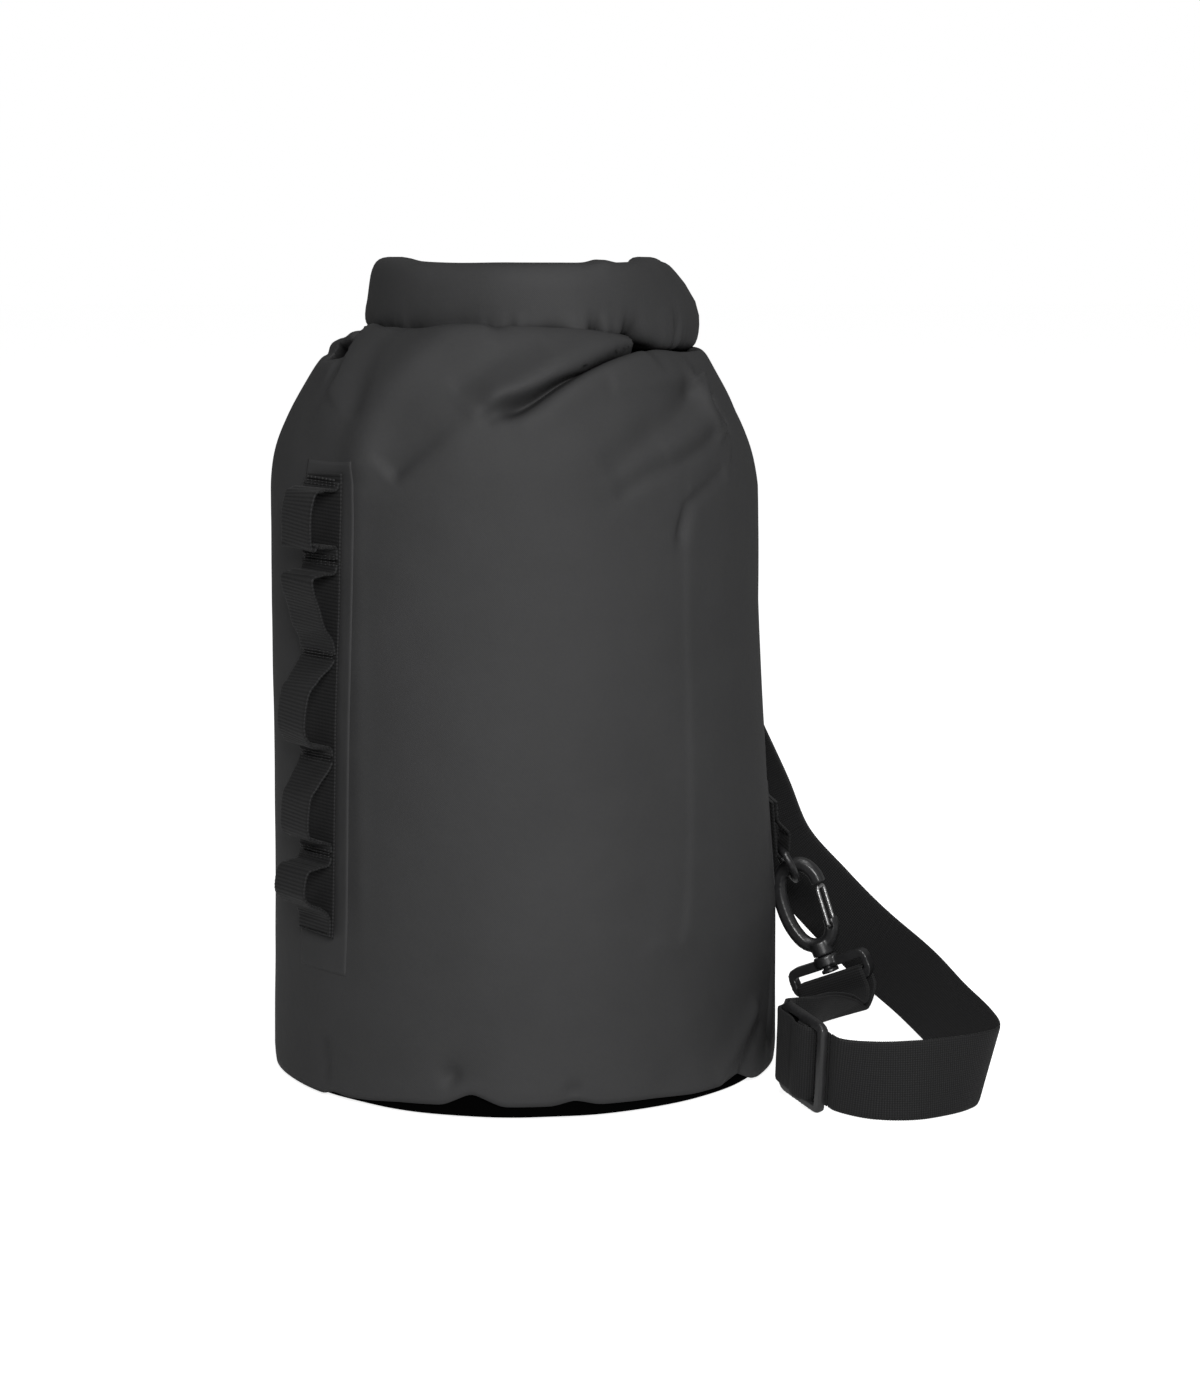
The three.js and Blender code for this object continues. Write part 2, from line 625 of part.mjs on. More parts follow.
function adjusterLoop(lower) {
  const under = -(GLIDE_FRAME.depth / 2 + WEB.clear + WEB.thick / 2);
  const over = -under;
  const second = over + WEB.thick + WEB.clear;
  const wrap = GLIDE_FRAME.centreBar / 2 + 1.5 * WEB.clear + WEB.thick / 2;
  // Leaving the eye the webbing bends forward, then turns on edge before it meets the tri-glide
  const between = (offset) => [
    { at: [154 + offset * 0.4, -2, 21 - offset * 1.4], up: [0.82, -0.42, 0.32] },
    { at: [148.5 + offset * 0.8, -14, 22.5 - offset * 1.3], up: [0.7, -0.4, 0.55] },
    { at: [142 + offset, -32, 23.5 - offset * 0.7], up: [0.46, -0.36, 0.8] },
    { at: [135.5 + offset * 1.1, -53, 24.5 - offset * 0.3], up: [0.22, -0.3, 0.92] },
    { at: [127 + offset * 1.2, -75, 28], up: [0.04, -0.26, 0.96] },
  ];
  const wrapped = wrapOfEye(lower, 1);
  const stations = [
    glideStation(-1.5, over), glideStation(1.6, over), glideStation(3.3, 2.3), glideStation(wrap, 0.6),
    glideStation(wrap, -0.6), glideStation(3.3, -2.3), glideStation(1.6, under),
    glideStation(-3, under), glideStation(-11, under - 0.3), glideStation(-15.5, under - 1.3),
    ...between(1.1).reverse(), ...wrapped.reverse(), ...between(-1.1),
    glideStation(-19, -0.6), glideStation(-18.1, 1.8), glideStation(-14, over + 0.2),
    glideStation(-6, over + 0.4),
    glideStation(-2, second), glideStation(2, second), glideStation(5.6, over),
    glideStation(8.4, under + 0.9), glideStation(12, under), glideStation(16.4, under - 0.1),
  ];
  const { points, ups } = route(stations, 3);
  return sweep(points, ups, strapSection(WEB.wide));
}

// ---- Assembly ----
place("side_wall", sideWall(), coated);
place("base_panel", basePanel(), blackCoated);
place("roll_top", rollTop(), coated);
place("mouth_stiffener", stiffener(), stiffening);

const buckle = new THREE.Group();
buckle.position.set(BUCKLE.x, BUCKLE.y, BUCKLE.z);
bag.add(buckle);
place("buckle_tab_left", buckleTab(-1), webbing);
place("buckle_tab_right", buckleTab(1), webbing);
place("buckle_female", buckleFemale(), plastic, buckle);
place("buckle_male", buckleMale(), plastic, buckle);
place("buckle_arm_top", buckleArm(1), plastic, buckle);
place("buckle_arm_bottom", buckleArm(-1), plastic, buckle);

function daisyPanel(halfAngle, low, high, stand, thick, columns) {
  return panelOnWall(daisyAngle, halfAngle, low, high, stand, thick, columns);
}

const { bottomZ, topZ } = DAISY;
place("daisy_patch", daisyPanel(PATCH.halfAngle, PATCH.bottom, PATCH.top, GAP, PATCH.thick, 8), coated);
place("daisy_backing", daisyPanel(webbingHalfAngle, bottomZ, topZ, backingStand, WEB.thick, 4), webbing);
for (let i = 0; i < DAISY_STITCHES.length - 1; i++) {
  place(`daisy_loop_${i + 1}`, daisyLoop(DAISY_STITCHES[i], DAISY_STITCHES[i + 1]), webbing);
}

const lower = addClip("lower", LOWER_CLIP);
const upper = addClip("upper", UPPER_CLIP);
place("shoulder_strap", shoulderStrap(upper), webbing);
place("adjuster_loop", adjusterLoop(lower), webbing);
const glideFrame = new THREE.Group();
glideFrame.matrix.makeBasis(glideAxes.along, glideAxes.face.clone().negate(), glideAxes.height);
glideFrame.matrix.setPosition(vec(...GLIDE.centre));
glideFrame.matrix.decompose(glideFrame.position, glideFrame.quaternion, glideFrame.scale);
bag.add(glideFrame);
place("tri_glide", triGlide(), plastic, glideFrame);

export default bag;
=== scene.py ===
"""Looks of a roll-top rope bag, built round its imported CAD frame. Metres, +Z up, -Y is the bag's front."""
import math

import bpy
import numpy as np
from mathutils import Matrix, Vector, noise


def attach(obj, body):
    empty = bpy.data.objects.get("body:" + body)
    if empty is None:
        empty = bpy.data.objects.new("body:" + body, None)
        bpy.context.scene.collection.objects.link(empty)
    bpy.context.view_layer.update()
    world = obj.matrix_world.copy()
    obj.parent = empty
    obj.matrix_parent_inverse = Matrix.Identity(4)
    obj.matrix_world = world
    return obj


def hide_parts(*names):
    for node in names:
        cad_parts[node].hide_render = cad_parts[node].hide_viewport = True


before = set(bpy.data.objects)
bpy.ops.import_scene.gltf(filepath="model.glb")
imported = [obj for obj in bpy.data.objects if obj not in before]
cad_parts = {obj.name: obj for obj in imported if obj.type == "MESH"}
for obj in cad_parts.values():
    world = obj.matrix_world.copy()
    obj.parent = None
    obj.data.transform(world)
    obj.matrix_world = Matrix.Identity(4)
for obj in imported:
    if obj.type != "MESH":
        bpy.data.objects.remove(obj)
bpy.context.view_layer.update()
MM = 0.001

# ---- Sizes, in millimetres as in the CAD source ----
COLUMNS = 480  # points round the bag
WALL_ROWS = 96
SHOULDER_ROWS = 84
HEM_Z, SHOULDER_Z = 7.0, 285.0
ROLL_CENTRE = (6.0, 0.0, 377.5)
ROLL_HALF_WIDTH, ROLL_HALF_DEPTH = 68.0, 76.0
ROLL_END = 150.0  # degrees either side of the front
ROLL_THICK, ROLL_HEIGHT = 24.0, 36.0
GIRTH, ROLL_LENGTH = 780.0, 380.0  # of the cloth, laid flat
COAT = 0.9  # thickness of the coated cloth
RIB, FINE_RIB = 1.75, 1.15  # pitch of the ribs: daisy chain and tabs, shoulder strap
WEB_THICK, WEB_WIDTH, STRAP_WIDTH = 1.5, 25, 38
WALL_RADIUS = 124  # for the flat coordinates of what is welded to the wall


# ---- Mesh helpers ----
def new_object(name, points, faces, uvs=None, smooth=True):
    """A mesh object from points in millimetres, with uvs in metres for each point."""
    mesh = bpy.data.meshes.new(name)
    mesh.from_pydata((np.asarray(points, float) * MM).tolist(), [], faces)
    if smooth:
        mesh.polygons.foreach_set("use_smooth", [True] * len(mesh.polygons))
    if uvs is not None:
        layer = mesh.uv_layers.new(name="cloth")
        loops = np.zeros(len(mesh.loops), np.int32)
        mesh.loops.foreach_get("vertex_index", loops)
        layer.data.foreach_set("uv", np.asarray(uvs, np.float32)[loops].ravel())
    mesh.update()
    obj = bpy.data.objects.new(name, mesh)
    bpy.context.scene.collection.objects.link(obj)
    return obj


def grid_faces(rows, columns, closed=False):
    """Quads over rows x columns points, joined round the columns when closed."""
    faces = []
    for j in range(rows - 1):
        for i in range(columns if closed else columns - 1):
            k = (i + 1) % columns
            faces.append((j * columns + i, j * columns + k, (j + 1) * columns + k, (j + 1) * columns + i))
    return faces


def apply_modifiers(obj):
    graph = bpy.context.evaluated_depsgraph_get()
    mesh = bpy.data.meshes.new_from_object(obj.evaluated_get(graph))
    obj.modifiers.clear()
    obj.data = mesh
    return obj


def thicken(obj, thick, offset=-1.0):
    modifier = obj.modifiers.new("thickness", "SOLIDIFY")
    modifier.thickness = thick * MM
    modifier.offset = offset
    return apply_modifiers(obj)


def finish_piece(obj, body, material, slot, *nodes):
    """Gives a piece its material, its body and the CAD nodes it stands for; the slot is not used."""
    obj.data.materials.clear()
    obj.data.materials.append(material)
    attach(obj, body)
    if nodes:
        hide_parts(*nodes)
    return obj


def smoothstep(value, low, high):
    t = np.clip((value - low) / (high - low), 0, 1)
    return t * t * (3 - 2 * t)


def unit(vectors):
    return vectors / np.maximum(np.linalg.norm(vectors, axis=-1, keepdims=True), 1e-9)


def ripple(points, scale, seed):
    """Smooth noise from -1 to 1 at each point, with lumps about scale millimetres wide."""
    flat = np.asarray(points).reshape(-1, 3) / scale + seed
    values = [noise.noise(Vector(p)) for p in flat]
    return np.array(values).reshape(np.shape(points)[:-1])


# ---- Materials ----
def shader(name, colour, roughness, specular=0.5, metallic=0.0):
    material = bpy.data.materials.new(name)
    material.use_nodes = True
    tree = material.node_tree
    bsdf = tree.nodes["Principled BSDF"]
    bsdf.inputs["Base Color"].default_value = (*colour, 1)
    bsdf.inputs["Roughness"].default_value = roughness
    bsdf.inputs["Specular IOR Level"].default_value = specular
    bsdf.inputs["Metallic"].default_value = metallic
    return material, tree, bsdf


def node(tree, kind, **inputs):
    made = tree.nodes.new(kind)
    for key, value in inputs.items():
        made.inputs[key.replace("_", " ")].default_value = value
    return made


def noise_node(tree, vector, scale, detail=3.0, roughness=0.55):
    made = node(tree, "ShaderNodeTexNoise", Scale=scale, Detail=detail, Roughness=roughness)
    tree.links.new(vector, made.inputs["Vector"])
    return made.outputs["Fac"]


def maths(tree, operation, a, b=None):
    made = tree.nodes.new("ShaderNodeMath")
    made.operation = operation
    for socket, value in ((0, a), (1, b)):
        if value is None:
            continue
        if isinstance(value, (int, float)):
            made.inputs[socket].default_value = value
        else:
            tree.links.new(value, made.inputs[socket])
    return made.outputs[0]


def remap(tree, value, low, high):
    """A 0 to 1 value stretched to run from low to high."""
    made = node(tree, "ShaderNodeMapRange")
    made.inputs["To Min"].default_value = low
    made.inputs["To Max"].default_value = high
    tree.links.new(value, made.inputs["Value"])
    return made.outputs["Result"]


def blend_colour(tree, factor, a, b):
    made = tree.nodes.new("ShaderNodeMix")
    made.data_type = "RGBA"
    made.inputs["A"].default_value = (*a, 1)
    made.inputs["B"].default_value = (*b, 1)
    tree.links.new(factor, made.inputs["Factor"])
    return made.outputs["Result"]


def bump(tree, height, strength, distance, before=None):
    made = node(tree, "ShaderNodeBump", Strength=strength, Distance=distance)
    tree.links.new(height, made.inputs["Height"])
    if before is not None:
        tree.links.new(before, made.inputs["Normal"])
    return made.outputs["Normal"]


def weave_height(tree, uv, pitch):
    """Height of a plain weave whose threads are pitch apart, from the cloth's own flat coordinates."""
    parts = tree.nodes.new("ShaderNodeSeparateXYZ")
    tree.links.new(uv, parts.inputs[0])
    turns = 2 * math.pi / pitch
    across = maths(tree, "SINE", maths(tree, "MULTIPLY", parts.outputs["X"], turns))
    along = maths(tree, "SINE", maths(tree, "MULTIPLY", parts.outputs["Y"], turns))
    return maths(tree, "MULTIPLY", across, along)


def coated_cloth(name, dark, light, roughness, pitch, specular=0.14):
    """Coated fabric: the base cloth's weave telegraphs through a matte skin with soft mottling, a painted
    highlight on ridges and painted shade in creases.
    """
    material, tree, bsdf = shader(name, light, roughness, specular=specular)
    place = tree.nodes.new("ShaderNodeTexCoord")
    mottle = noise_node(tree, place.outputs["Object"], 26, 5.0, 0.6)
    grain = noise_node(tree, place.outputs["Object"], 900, 2.0, 0.5)
    soft, sharp = maths(tree, "MULTIPLY", mottle, 0.75), maths(tree, "MULTIPLY", grain, 0.25)
    # painted light: pointiness makes the cloth lighter on ridges (painted highlight) and darker in creases
    # (painted shade)
    edges = tree.nodes.new("ShaderNodeNewGeometry").outputs["Pointiness"]
    painted_ridge_light_crease_shade = maths(tree, "MULTIPLY", maths(tree, "SUBTRACT", edges, 0.5), 2.2)
    tone = maths(tree, "ADD", maths(tree, "ADD", soft, sharp), painted_ridge_light_crease_shade)
    tree.links.new(blend_colour(tree, tone, dark, light), bsdf.inputs["Base Color"])
    tree.links.new(remap(tree, mottle, roughness - 0.07, roughness + 0.07), bsdf.inputs["Roughness"])
    weave = weave_height(tree, place.outputs["UV"], pitch)
    creases = noise_node(tree, place.outputs["Object"], 55, 4.0, 0.5)
    fine = bump(tree, weave, 0.35, 0.00006)
    fine = bump(tree, grain, 0.25, 0.00008, fine)
    tree.links.new(bump(tree, creases, 0.35, 0.0012, fine), bsdf.inputs["Normal"])
    return material


def webbing_cloth(name, dark, light):
    """Webbing: its ribs are in the mesh, and the yarns within each rib are in the bump; its colour is lighter
    on the rib and yarn crests as a painted highlight and darker between them as painted shade, with random
    fuzz.
    """
    material, tree, bsdf = shader(name, light, 0.7, specular=0.16)
    bsdf.inputs["Sheen Weight"].default_value = 0.03
    bsdf.inputs["Sheen Roughness"].default_value = 0.5
    place = tree.nodes.new("ShaderNodeTexCoord")
    parts = tree.nodes.new("ShaderNodeSeparateXYZ")
    tree.links.new(place.outputs["UV"], parts.inputs[0])
    turns = 2 * math.pi / (RIB * MM)
    ribs = maths(tree, "SINE", maths(tree, "MULTIPLY", parts.outputs["Y"], turns))
    yarns = maths(tree, "SINE", maths(tree, "MULTIPLY", parts.outputs["X"], 2 * math.pi / 0.0011))
    fuzz = noise_node(tree, place.outputs["Object"], 1400, 3.0, 0.6)
    # painted light: rib and yarn crests painted lighter, the grooves between them painted darker, in step
    # with the ribs in the mesh
    painted_rib_light_and_shade = maths(tree, "MULTIPLY", maths(tree, "ADD", ribs, 1.0), maths(tree, "ADD", yarns, 1.6))
    tone = maths(tree, "ADD", maths(tree, "MULTIPLY", painted_rib_light_and_shade, 0.16), maths(tree, "MULTIPLY", fuzz, 0.3))
    tree.links.new(blend_colour(tree, tone, dark, light), bsdf.inputs["Base Color"])
    first = bump(tree, yarns, 0.3, 0.0001)
    tree.links.new(bump(tree, fuzz, 0.4, 0.00012, first), bsdf.inputs["Normal"])
    return material


def moulded(name, colour, roughness):
    """Moulded plastic: spark-eroded grain and slightly polished patches."""
    material, tree, bsdf = shader(name, colour, roughness, specular=0.5)
    place = tree.nodes.new("ShaderNodeTexCoord")
    patches = noise_node(tree, place.outputs["Object"], 180, 3.0)
    grain = noise_node(tree, place.outputs["Object"], 2600, 2.0)
    tree.links.new(remap(tree, patches, roughness - 0.1, roughness + 0.12), bsdf.inputs["Roughness"])
    lighter = tuple(min(1.0, c * 1.7) for c in colour)
    tree.links.new(blend_colour(tree, patches, colour, lighter), bsdf.inputs["Base Color"])
    tree.links.new(bump(tree, grain, 0.3, 0.00005), bsdf.inputs["Normal"])
    return material


def drawn_steel(name):
    material, tree, bsdf = shader(name, (0.4, 0.4, 0.4), 0.3, metallic=1.0)
    place = tree.nodes.new("ShaderNodeTexCoord")
    scratches = noise_node(tree, place.outputs["Object"], 1800, 4.0)
    tree.links.new(remap(tree, scratches, 0.3, 0.45), bsdf.inputs["Roughness"])
    return material


CHARCOAL, LIT_CHARCOAL = (0.022, 0.022, 0.0225), (0.034, 0.034, 0.0346)
BLACK, LIT_BLACK = (0.0004, 0.0004, 0.0004), (0.0009, 0.0009, 0.0009)
CLOTH = coated_cloth("coated_cloth", CHARCOAL, LIT_CHARCOAL, 0.66, 0.0009)
BASE_CLOTH = coated_cloth("base_cloth", BLACK, LIT_BLACK, 0.85, 0.0014, 0.01)
WEBBING = webbing_cloth("webbing", (0.0025, 0.0025, 0.0026), (0.016, 0.016, 0.0165))
PLASTIC = moulded("moulded_plastic", (0.009, 0.009, 0.0094), 0.36)
STEEL = drawn_steel("gate_wire")
STRIP = moulded("stiffener_strip", (0.5, 0.5, 0.46), 0.5)
THREAD = moulded("thread", (0.004, 0.004, 0.0042), 0.6)


# ---- The bag's fabric ----
def mouth_height(x):
    """Where the fabric goes into the roll: lower at the roll's two ends."""
    return 367 - 11 * smoothstep(x, 20, 80) - 5 * smoothstep(-x, 55, 70)


def roll_drop(angle):
    """How far the roll's centre line has come down towards its two ends, behind the bag."""
    return 6 * smoothstep(np.abs(angle), 90, ROLL_END)


def roll_line(angle, outward=0.0):
    """Point on the bent roll's centre line at an angle in degrees from the front, moved outward."""
    a = np.radians(angle)
    across, depth = ROLL_HALF_DEPTH * np.sin(a), -ROLL_HALF_WIDTH * np.cos(a)
    length = np.hypot(across, depth)
    x = ROLL_CENTRE[0] + ROLL_HALF_WIDTH * np.sin(a) + outward * across / length
    y = -ROLL_HALF_DEPTH * np.cos(a) + outward * depth / length
    return x, y


def bag_surface(theta, row):
    """The smooth bag: theta in degrees from the front, row 0 to 1 up the wall, 1 to 2 over the shoulder."""
    angle = np.radians(theta)
    z = HEM_Z + (SHOULDER_Z - HEM_Z) * np.clip(row, 0, 1)
    centre = np.interp(z, [6, 80, 130, 230, 285], [0.7, 0.6, -1.3, -3.9, -3.7])
    radius = np.interp(z, [6, 80, 130, 180, 230, 285], [124.6, 124.0, 121.8, 120.2, 118.7, 118.0])
    wall = np.stack([centre + radius * np.sin(angle), -radius * np.cos(angle), z], -1)
    # the front of the bag runs to the roll's outside, and the back reaches under to its inside
    turned = (theta + 180) % 360 - 180
    front = np.abs(turned) <= 90
    on_roll = np.where(front, turned, np.sign(turned) * (180 - np.abs(turned))) * ROLL_END / 90
    away = smoothstep(np.abs(np.abs(turned) - 90), 0, 8)
    x, y = roll_line(on_roll, np.where(front, 2 + 6 * away, 2 - 6 * away))
    mouth = np.stack([x, y, mouth_height(x) - roll_drop(on_roll)], -1)
    phi = np.clip(row - 1, 0, 1) * math.pi / 2
    straight = 0.04 + 0.06 * smoothstep(wall[..., 0], -60, 60)
    inward = straight * np.sin(phi) + (1 - straight) * (1 - np.cos(phi))
    made = wall + (mouth - wall) * inward[..., None]
    made[..., 2] = z + (mouth[..., 2] - SHOULDER_Z) * np.sin(phi)
    return made


def line_field(points, normals, line):
    """Each point's distance from a line, its side (from +1 left of travel to -1) and how far along it is."""
    best = np.full(len(points), 1e9)
    side = np.ones(len(points))
    along = np.zeros(len(points))
    toward = np.zeros_like(points)
    steps = np.linalg.norm(np.diff(line, axis=0), axis=1)
    total = steps.sum()
    done = 0.0
    for a, b, step in zip(line[:-1], line[1:], steps):
        way = (b - a) / step
        t = np.clip((points - a) @ way, 0, step)
        gap = points - (a + t[:, None] * way)
        distance = np.linalg.norm(gap, axis=1)
        nearer = distance < best
        best = np.where(nearer, distance, best)
        left = (np.cross(way, gap) * normals).sum(1) / np.maximum(distance, 1e-6)
        side = np.where(nearer, np.clip(left, -1, 1), side)
        along = np.where(nearer, (done + t) / total, along)
        toward = np.where(nearer[:, None], gap, toward)
        done += step
    return best, side, along, unit(toward)


def smooth_line(stations, per_span=6):
    """A centripetal curve through stations, rows of any length."""
    p = np.asarray(stations, float)
    p = np.vstack([2 * p[0] - p[1], p, 2 * p[-1] - p[-2]])
    out = []
    for i in range(1, len(p) - 2):
        d = [max(np.linalg.norm(p[i + k + 1] - p[i + k]) ** 0.5, 1e-6) for k in (-1, 0, 1)]
        a = (p[i] - p[i - 1]) / d[0] - (p[i + 1] - p[i - 1]) / (d[0] + d[1]) + (p[i + 1] - p[i]) / d[1]
        b = (p[i + 1] - p[i]) / d[1] - (p[i + 2] - p[i]) / (d[1] + d[2]) + (p[i + 2] - p[i + 1]) / d[2]
        a, b = a * d[1], b * d[1]
        last = i == len(p) - 3
        for t in np.linspace(0, 1, per_span + 1)[: None if last else -1]:
            c2 = 3 * (p[i + 1] - p[i]) - 2 * a - b
            c3 = 2 * (p[i] - p[i + 1]) + a + b
            out.append(p[i] + a * t + c2 * t * t + c3 * t ** 3)
    return np.array(out)


# Folds: a line of (degrees from the front, row), height in mm (+ out), width on the left of the line's
# travel, width on its right, how the height changes from start to end, and how far it leans to the right
FOLDS = [
    # the long pleat from under the roll's right end: its hollow, its upper lip, its lower lip
    ([(30, 1.96), (22, 1.76), (15, 1.6), (8.5, 1.48), (3, 1.4), (-4, 1.348)],
     -15, 4.6, 5.0, (1.1, 0.6), 0),
    ([(24, 1.97), (15.5, 1.67), (8, 1.565), (1.5, 1.48), (-4, 1.41), (-7, 1.36)],
     7, 3.0, 6.5, (0.55, 0.8), -2.2),
    ([(29, 1.8), (22, 1.68), (15.5, 1.55), (9.5, 1.445), (3.5, 1.355), (-2, 1.31)],
     2.6, 12, 2.4, (0.9, 0.7), 0),
    # the black wedge between the roll's right end and the shoulder
    ([(26, 1.94), (40, 1.93), (58, 1.93), (76, 1.92)], -6, 5, 5, (1, 0.8), 0),
    ([(4, 1.75), (-3, 1.64), (-9, 1.52), (-14, 1.44)], -1.8, 6, 7, (0.7, 0.9), 0),
    # soft folds down and left of the pleat
    ([(-9, 1.37), (-14, 1.3), (-19.5, 1.225), (-29, 1.1)], -4.6, 5, 9, (0.0, 1), 0),
    ([(-6, 1.92), (-15, 1.78), (-23, 1.58), (-30, 1.38), (-34, 1.2), (-35, 1.06)],
     5.0, 11, 13, (0.6, 0.9), 0),
    ([(-4, 1.93), (-16, 1.9), (-28, 1.9), (-40, 1.92)], -3.5, 4, 5, (0.6, 0.9), 0),
    ([(-30, 1.9), (-36, 1.6), (-40, 1.3)], -2.5, 9, 9, (0.6, 0.8), 0),
    # the right shoulder
    ([(20, 1.5), (27, 1.54), (36, 1.58), (47, 1.585)], 3.2, 8, 5, (0.3, 1), 0),
    ([(46.5, 1.61), (49.5, 1.53), (51, 1.43), (55, 1.34), (59, 1.27)], 4.4, 3.0, 8, (0.9, 0.8), 1.5),
    ([(53, 1.47), (56.5, 1.37), (61, 1.29)], -5.5, 4, 3, (0.8, 1), 0),
    ([(47, 1.51), (40.5, 1.39), (31.5, 1.28), (20.5, 1.12)], -4.6, 6, 9, (1, 0.4), 0),
    ([(55, 1.29), (48, 1.225), (40, 1.17), (32, 1.12), (23, 1.03)], -3.4, 4, 6, (0.8, 0.5), 0),
    ([(54, 1.34), (45, 1.27), (36, 1.19)], 2.6, 6, 7, (0.8, 0.5), 0),
    ([(58, 1.13), (49, 1.05), (44, 1.0), (41, 0.93)], -3.0, 4, 3, (0.3, 1), 0),
    ([(60, 1.16), (70, 1.1), (84, 1.08)], -1.6, 6, 8, (0.6, 0.4), 0),
    # the left gusset: the front panel's edge over a hollow, a ledge below it and the lip behind it
    ([(-40, 1.97), (-43.5, 1.72), (-46, 1.53), (-51, 1.4)], 4.0, 13, 2.6, (1, 0.5), 1.5),
    ([(-51, 1.57), (-58, 1.56), (-66, 1.565), (-76, 1.56)], 2.4, 10, 2.6, (0.8, 0.6), 0),
    ([(-48, 1.8), (-58, 1.74), (-66, 1.69), (-74, 1.63), (-84, 1.57)], 4.4, 4, 4, (0.6, 0.7), 0),
    # the crease down the right of the front, and the panel break low on the left
    ([(45, 1.2), (44, 0.95), (43.5, 0.67), (40.5, 0.34), (31, 0.27), (23, 0.24)],
     1.0, 8, 2.2, (0.8, 0.8), 0),
    ([(-36, 1.2), (-36.5, 0.7), (-37, 0.2)], 0.6, 5, 5, (1, 1), 0),
    # the crumpled corner low on the right
    ([(48, 0.0), (55, 0.045), (66, 0.115)], 2.4, 7, 2.4, (0.6, 1), 0),
    ([(57, 0.0), (62, 0.04), (69, 0.075)], -3.0, 3, 4, (0.8, 0.6), 0),
    ([(82, 0.26), (78, 0.12), (74, 0.03)], -3.0, 4, 4, (0.4, 1), 0),
    # behind: pleats that run down from the roll's two ends, and a sagging roof
    ([(96, 1.98), (104, 1.8), (108, 1.55), (106, 1.25)], -9, 6, 6, (1, 0.3), 0),
    ([(112, 1.95), (118, 1.7), (118, 1.4), (114, 1.15)], 5, 6, 8, (1, 0.4), 2),
    ([(126, 1.9), (134, 1.62), (138, 1.35), (136, 1.1)], -6, 7, 7, (0.8, 0.4), 0),
    ([(150, 1.8), (156, 1.5), (158, 1.2)], 4, 10, 10, (0.8, 0.5), 0),
    ([(-104, 1.98), (-110, 1.78), (-112, 1.5), (-109, 1.2)], -8, 6, 6, (1, 0.3), 0),
    ([(-122, 1.92), (-128, 1.66), (-130, 1.35), (-126, 1.1)], 5, 8, 8, (1, 0.4), -2),
    ([(-140, 1.86), (-148, 1.6), (-152, 1.3), (-150, 1.08)], -6, 8, 8, (0.8, 0.4), 0),
    ([(-166, 1.8), (-172, 1.5), (-170, 1.2)], 4, 10, 10, (0.8, 0.5), 0),
    ([(172, 1.85), (176, 1.6), (178, 1.3)], -4, 12, 12, (0.8, 0.4), 0),
]
FOLD_REACH = 60  # millimetres from its line where a fold has no more effect
UNDER_ROLL = 1.95  # a fold that starts above this row starts at full height
DEEP_HOLLOW = -5
# Pockets: a line as above, how far the cloth goes in (x, y, z in mm), and half width
POCKETS = [
    ([(-50, 1.685), (-55, 1.665), (-61, 1.64)], (6, 24, -6), 4.4),
    ([(24, 1.95), (34, 1.94), (48, 1.94)], (-5, 16, -9), 4.5),
]
# Dents near the base: degrees from the front, row, depth and half width
DENTS = [
    (-50.5, 0.065, 2.2, 7), (-49, 0.03, 1.4, 4), (-15.2, 0.05, 3.0, 4.6), (-14, 0.06, 1.6, 11),
    (11.4, 0.022, 1.8, 4.5), (34, 0.03, 1.0, 10), (98, 0.05, 2.0, 9), (150, 0.04, 2.2, 10),
    (-100, 0.05, 2.0, 9), (-150, 0.03, 2.0, 10), (178, 0.05, 1.6, 12),
]


def normals_of(grid):
    """Outward normals of a grid that is closed round its columns."""
    wide = np.concatenate([grid[:, -1:], grid, grid[:, :1]], 1)
    across = wide[:, 2:] - wide[:, :-2]
    return unit(np.cross(across, np.gradient(grid, axis=0)))


# The fabric's lower edge, as (degrees from the front, height). The weld draws it up in notches, and it
# hides the base at the sides
HEM = [
    (-180, 6), (-150, 8), (-120, 5), (-110, 8), (-98, 4), (-82, 1.8), (-50, 1.6), (-46.8, 4.2), (-42, 3.3),
    (-35, 4.4), (-28, 6), (-17, 7), (-10.7, 13.4), (-4, 7.2), (7, 7.4), (11.8, 10), (17, 7.2), (30, 6.9),
    (41, 5.3), (49, 5.2), (56.5, 9), (62, 3), (66, 1.7), (84, 1.8), (100, 4), (118, 5), (124, 9), (130, 6),
    (165, 7), (180, 6),
]
HEM_BLUR = {-1.5: 0.12, -0.75: 0.22, 0: 0.32, 0.75: 0.22, 1.5: 0.12}  # degrees to either side: weight


def hem_height(theta):
    """How far the fabric's lower edge is above HEM_Z."""
    near = theta[..., None] + np.array(list(HEM_BLUR))
    level = np.interp((near + 180) % 360 - 180, *zip(*HEM))
    return level @ np.array(list(HEM_BLUR.values())) - HEM_Z


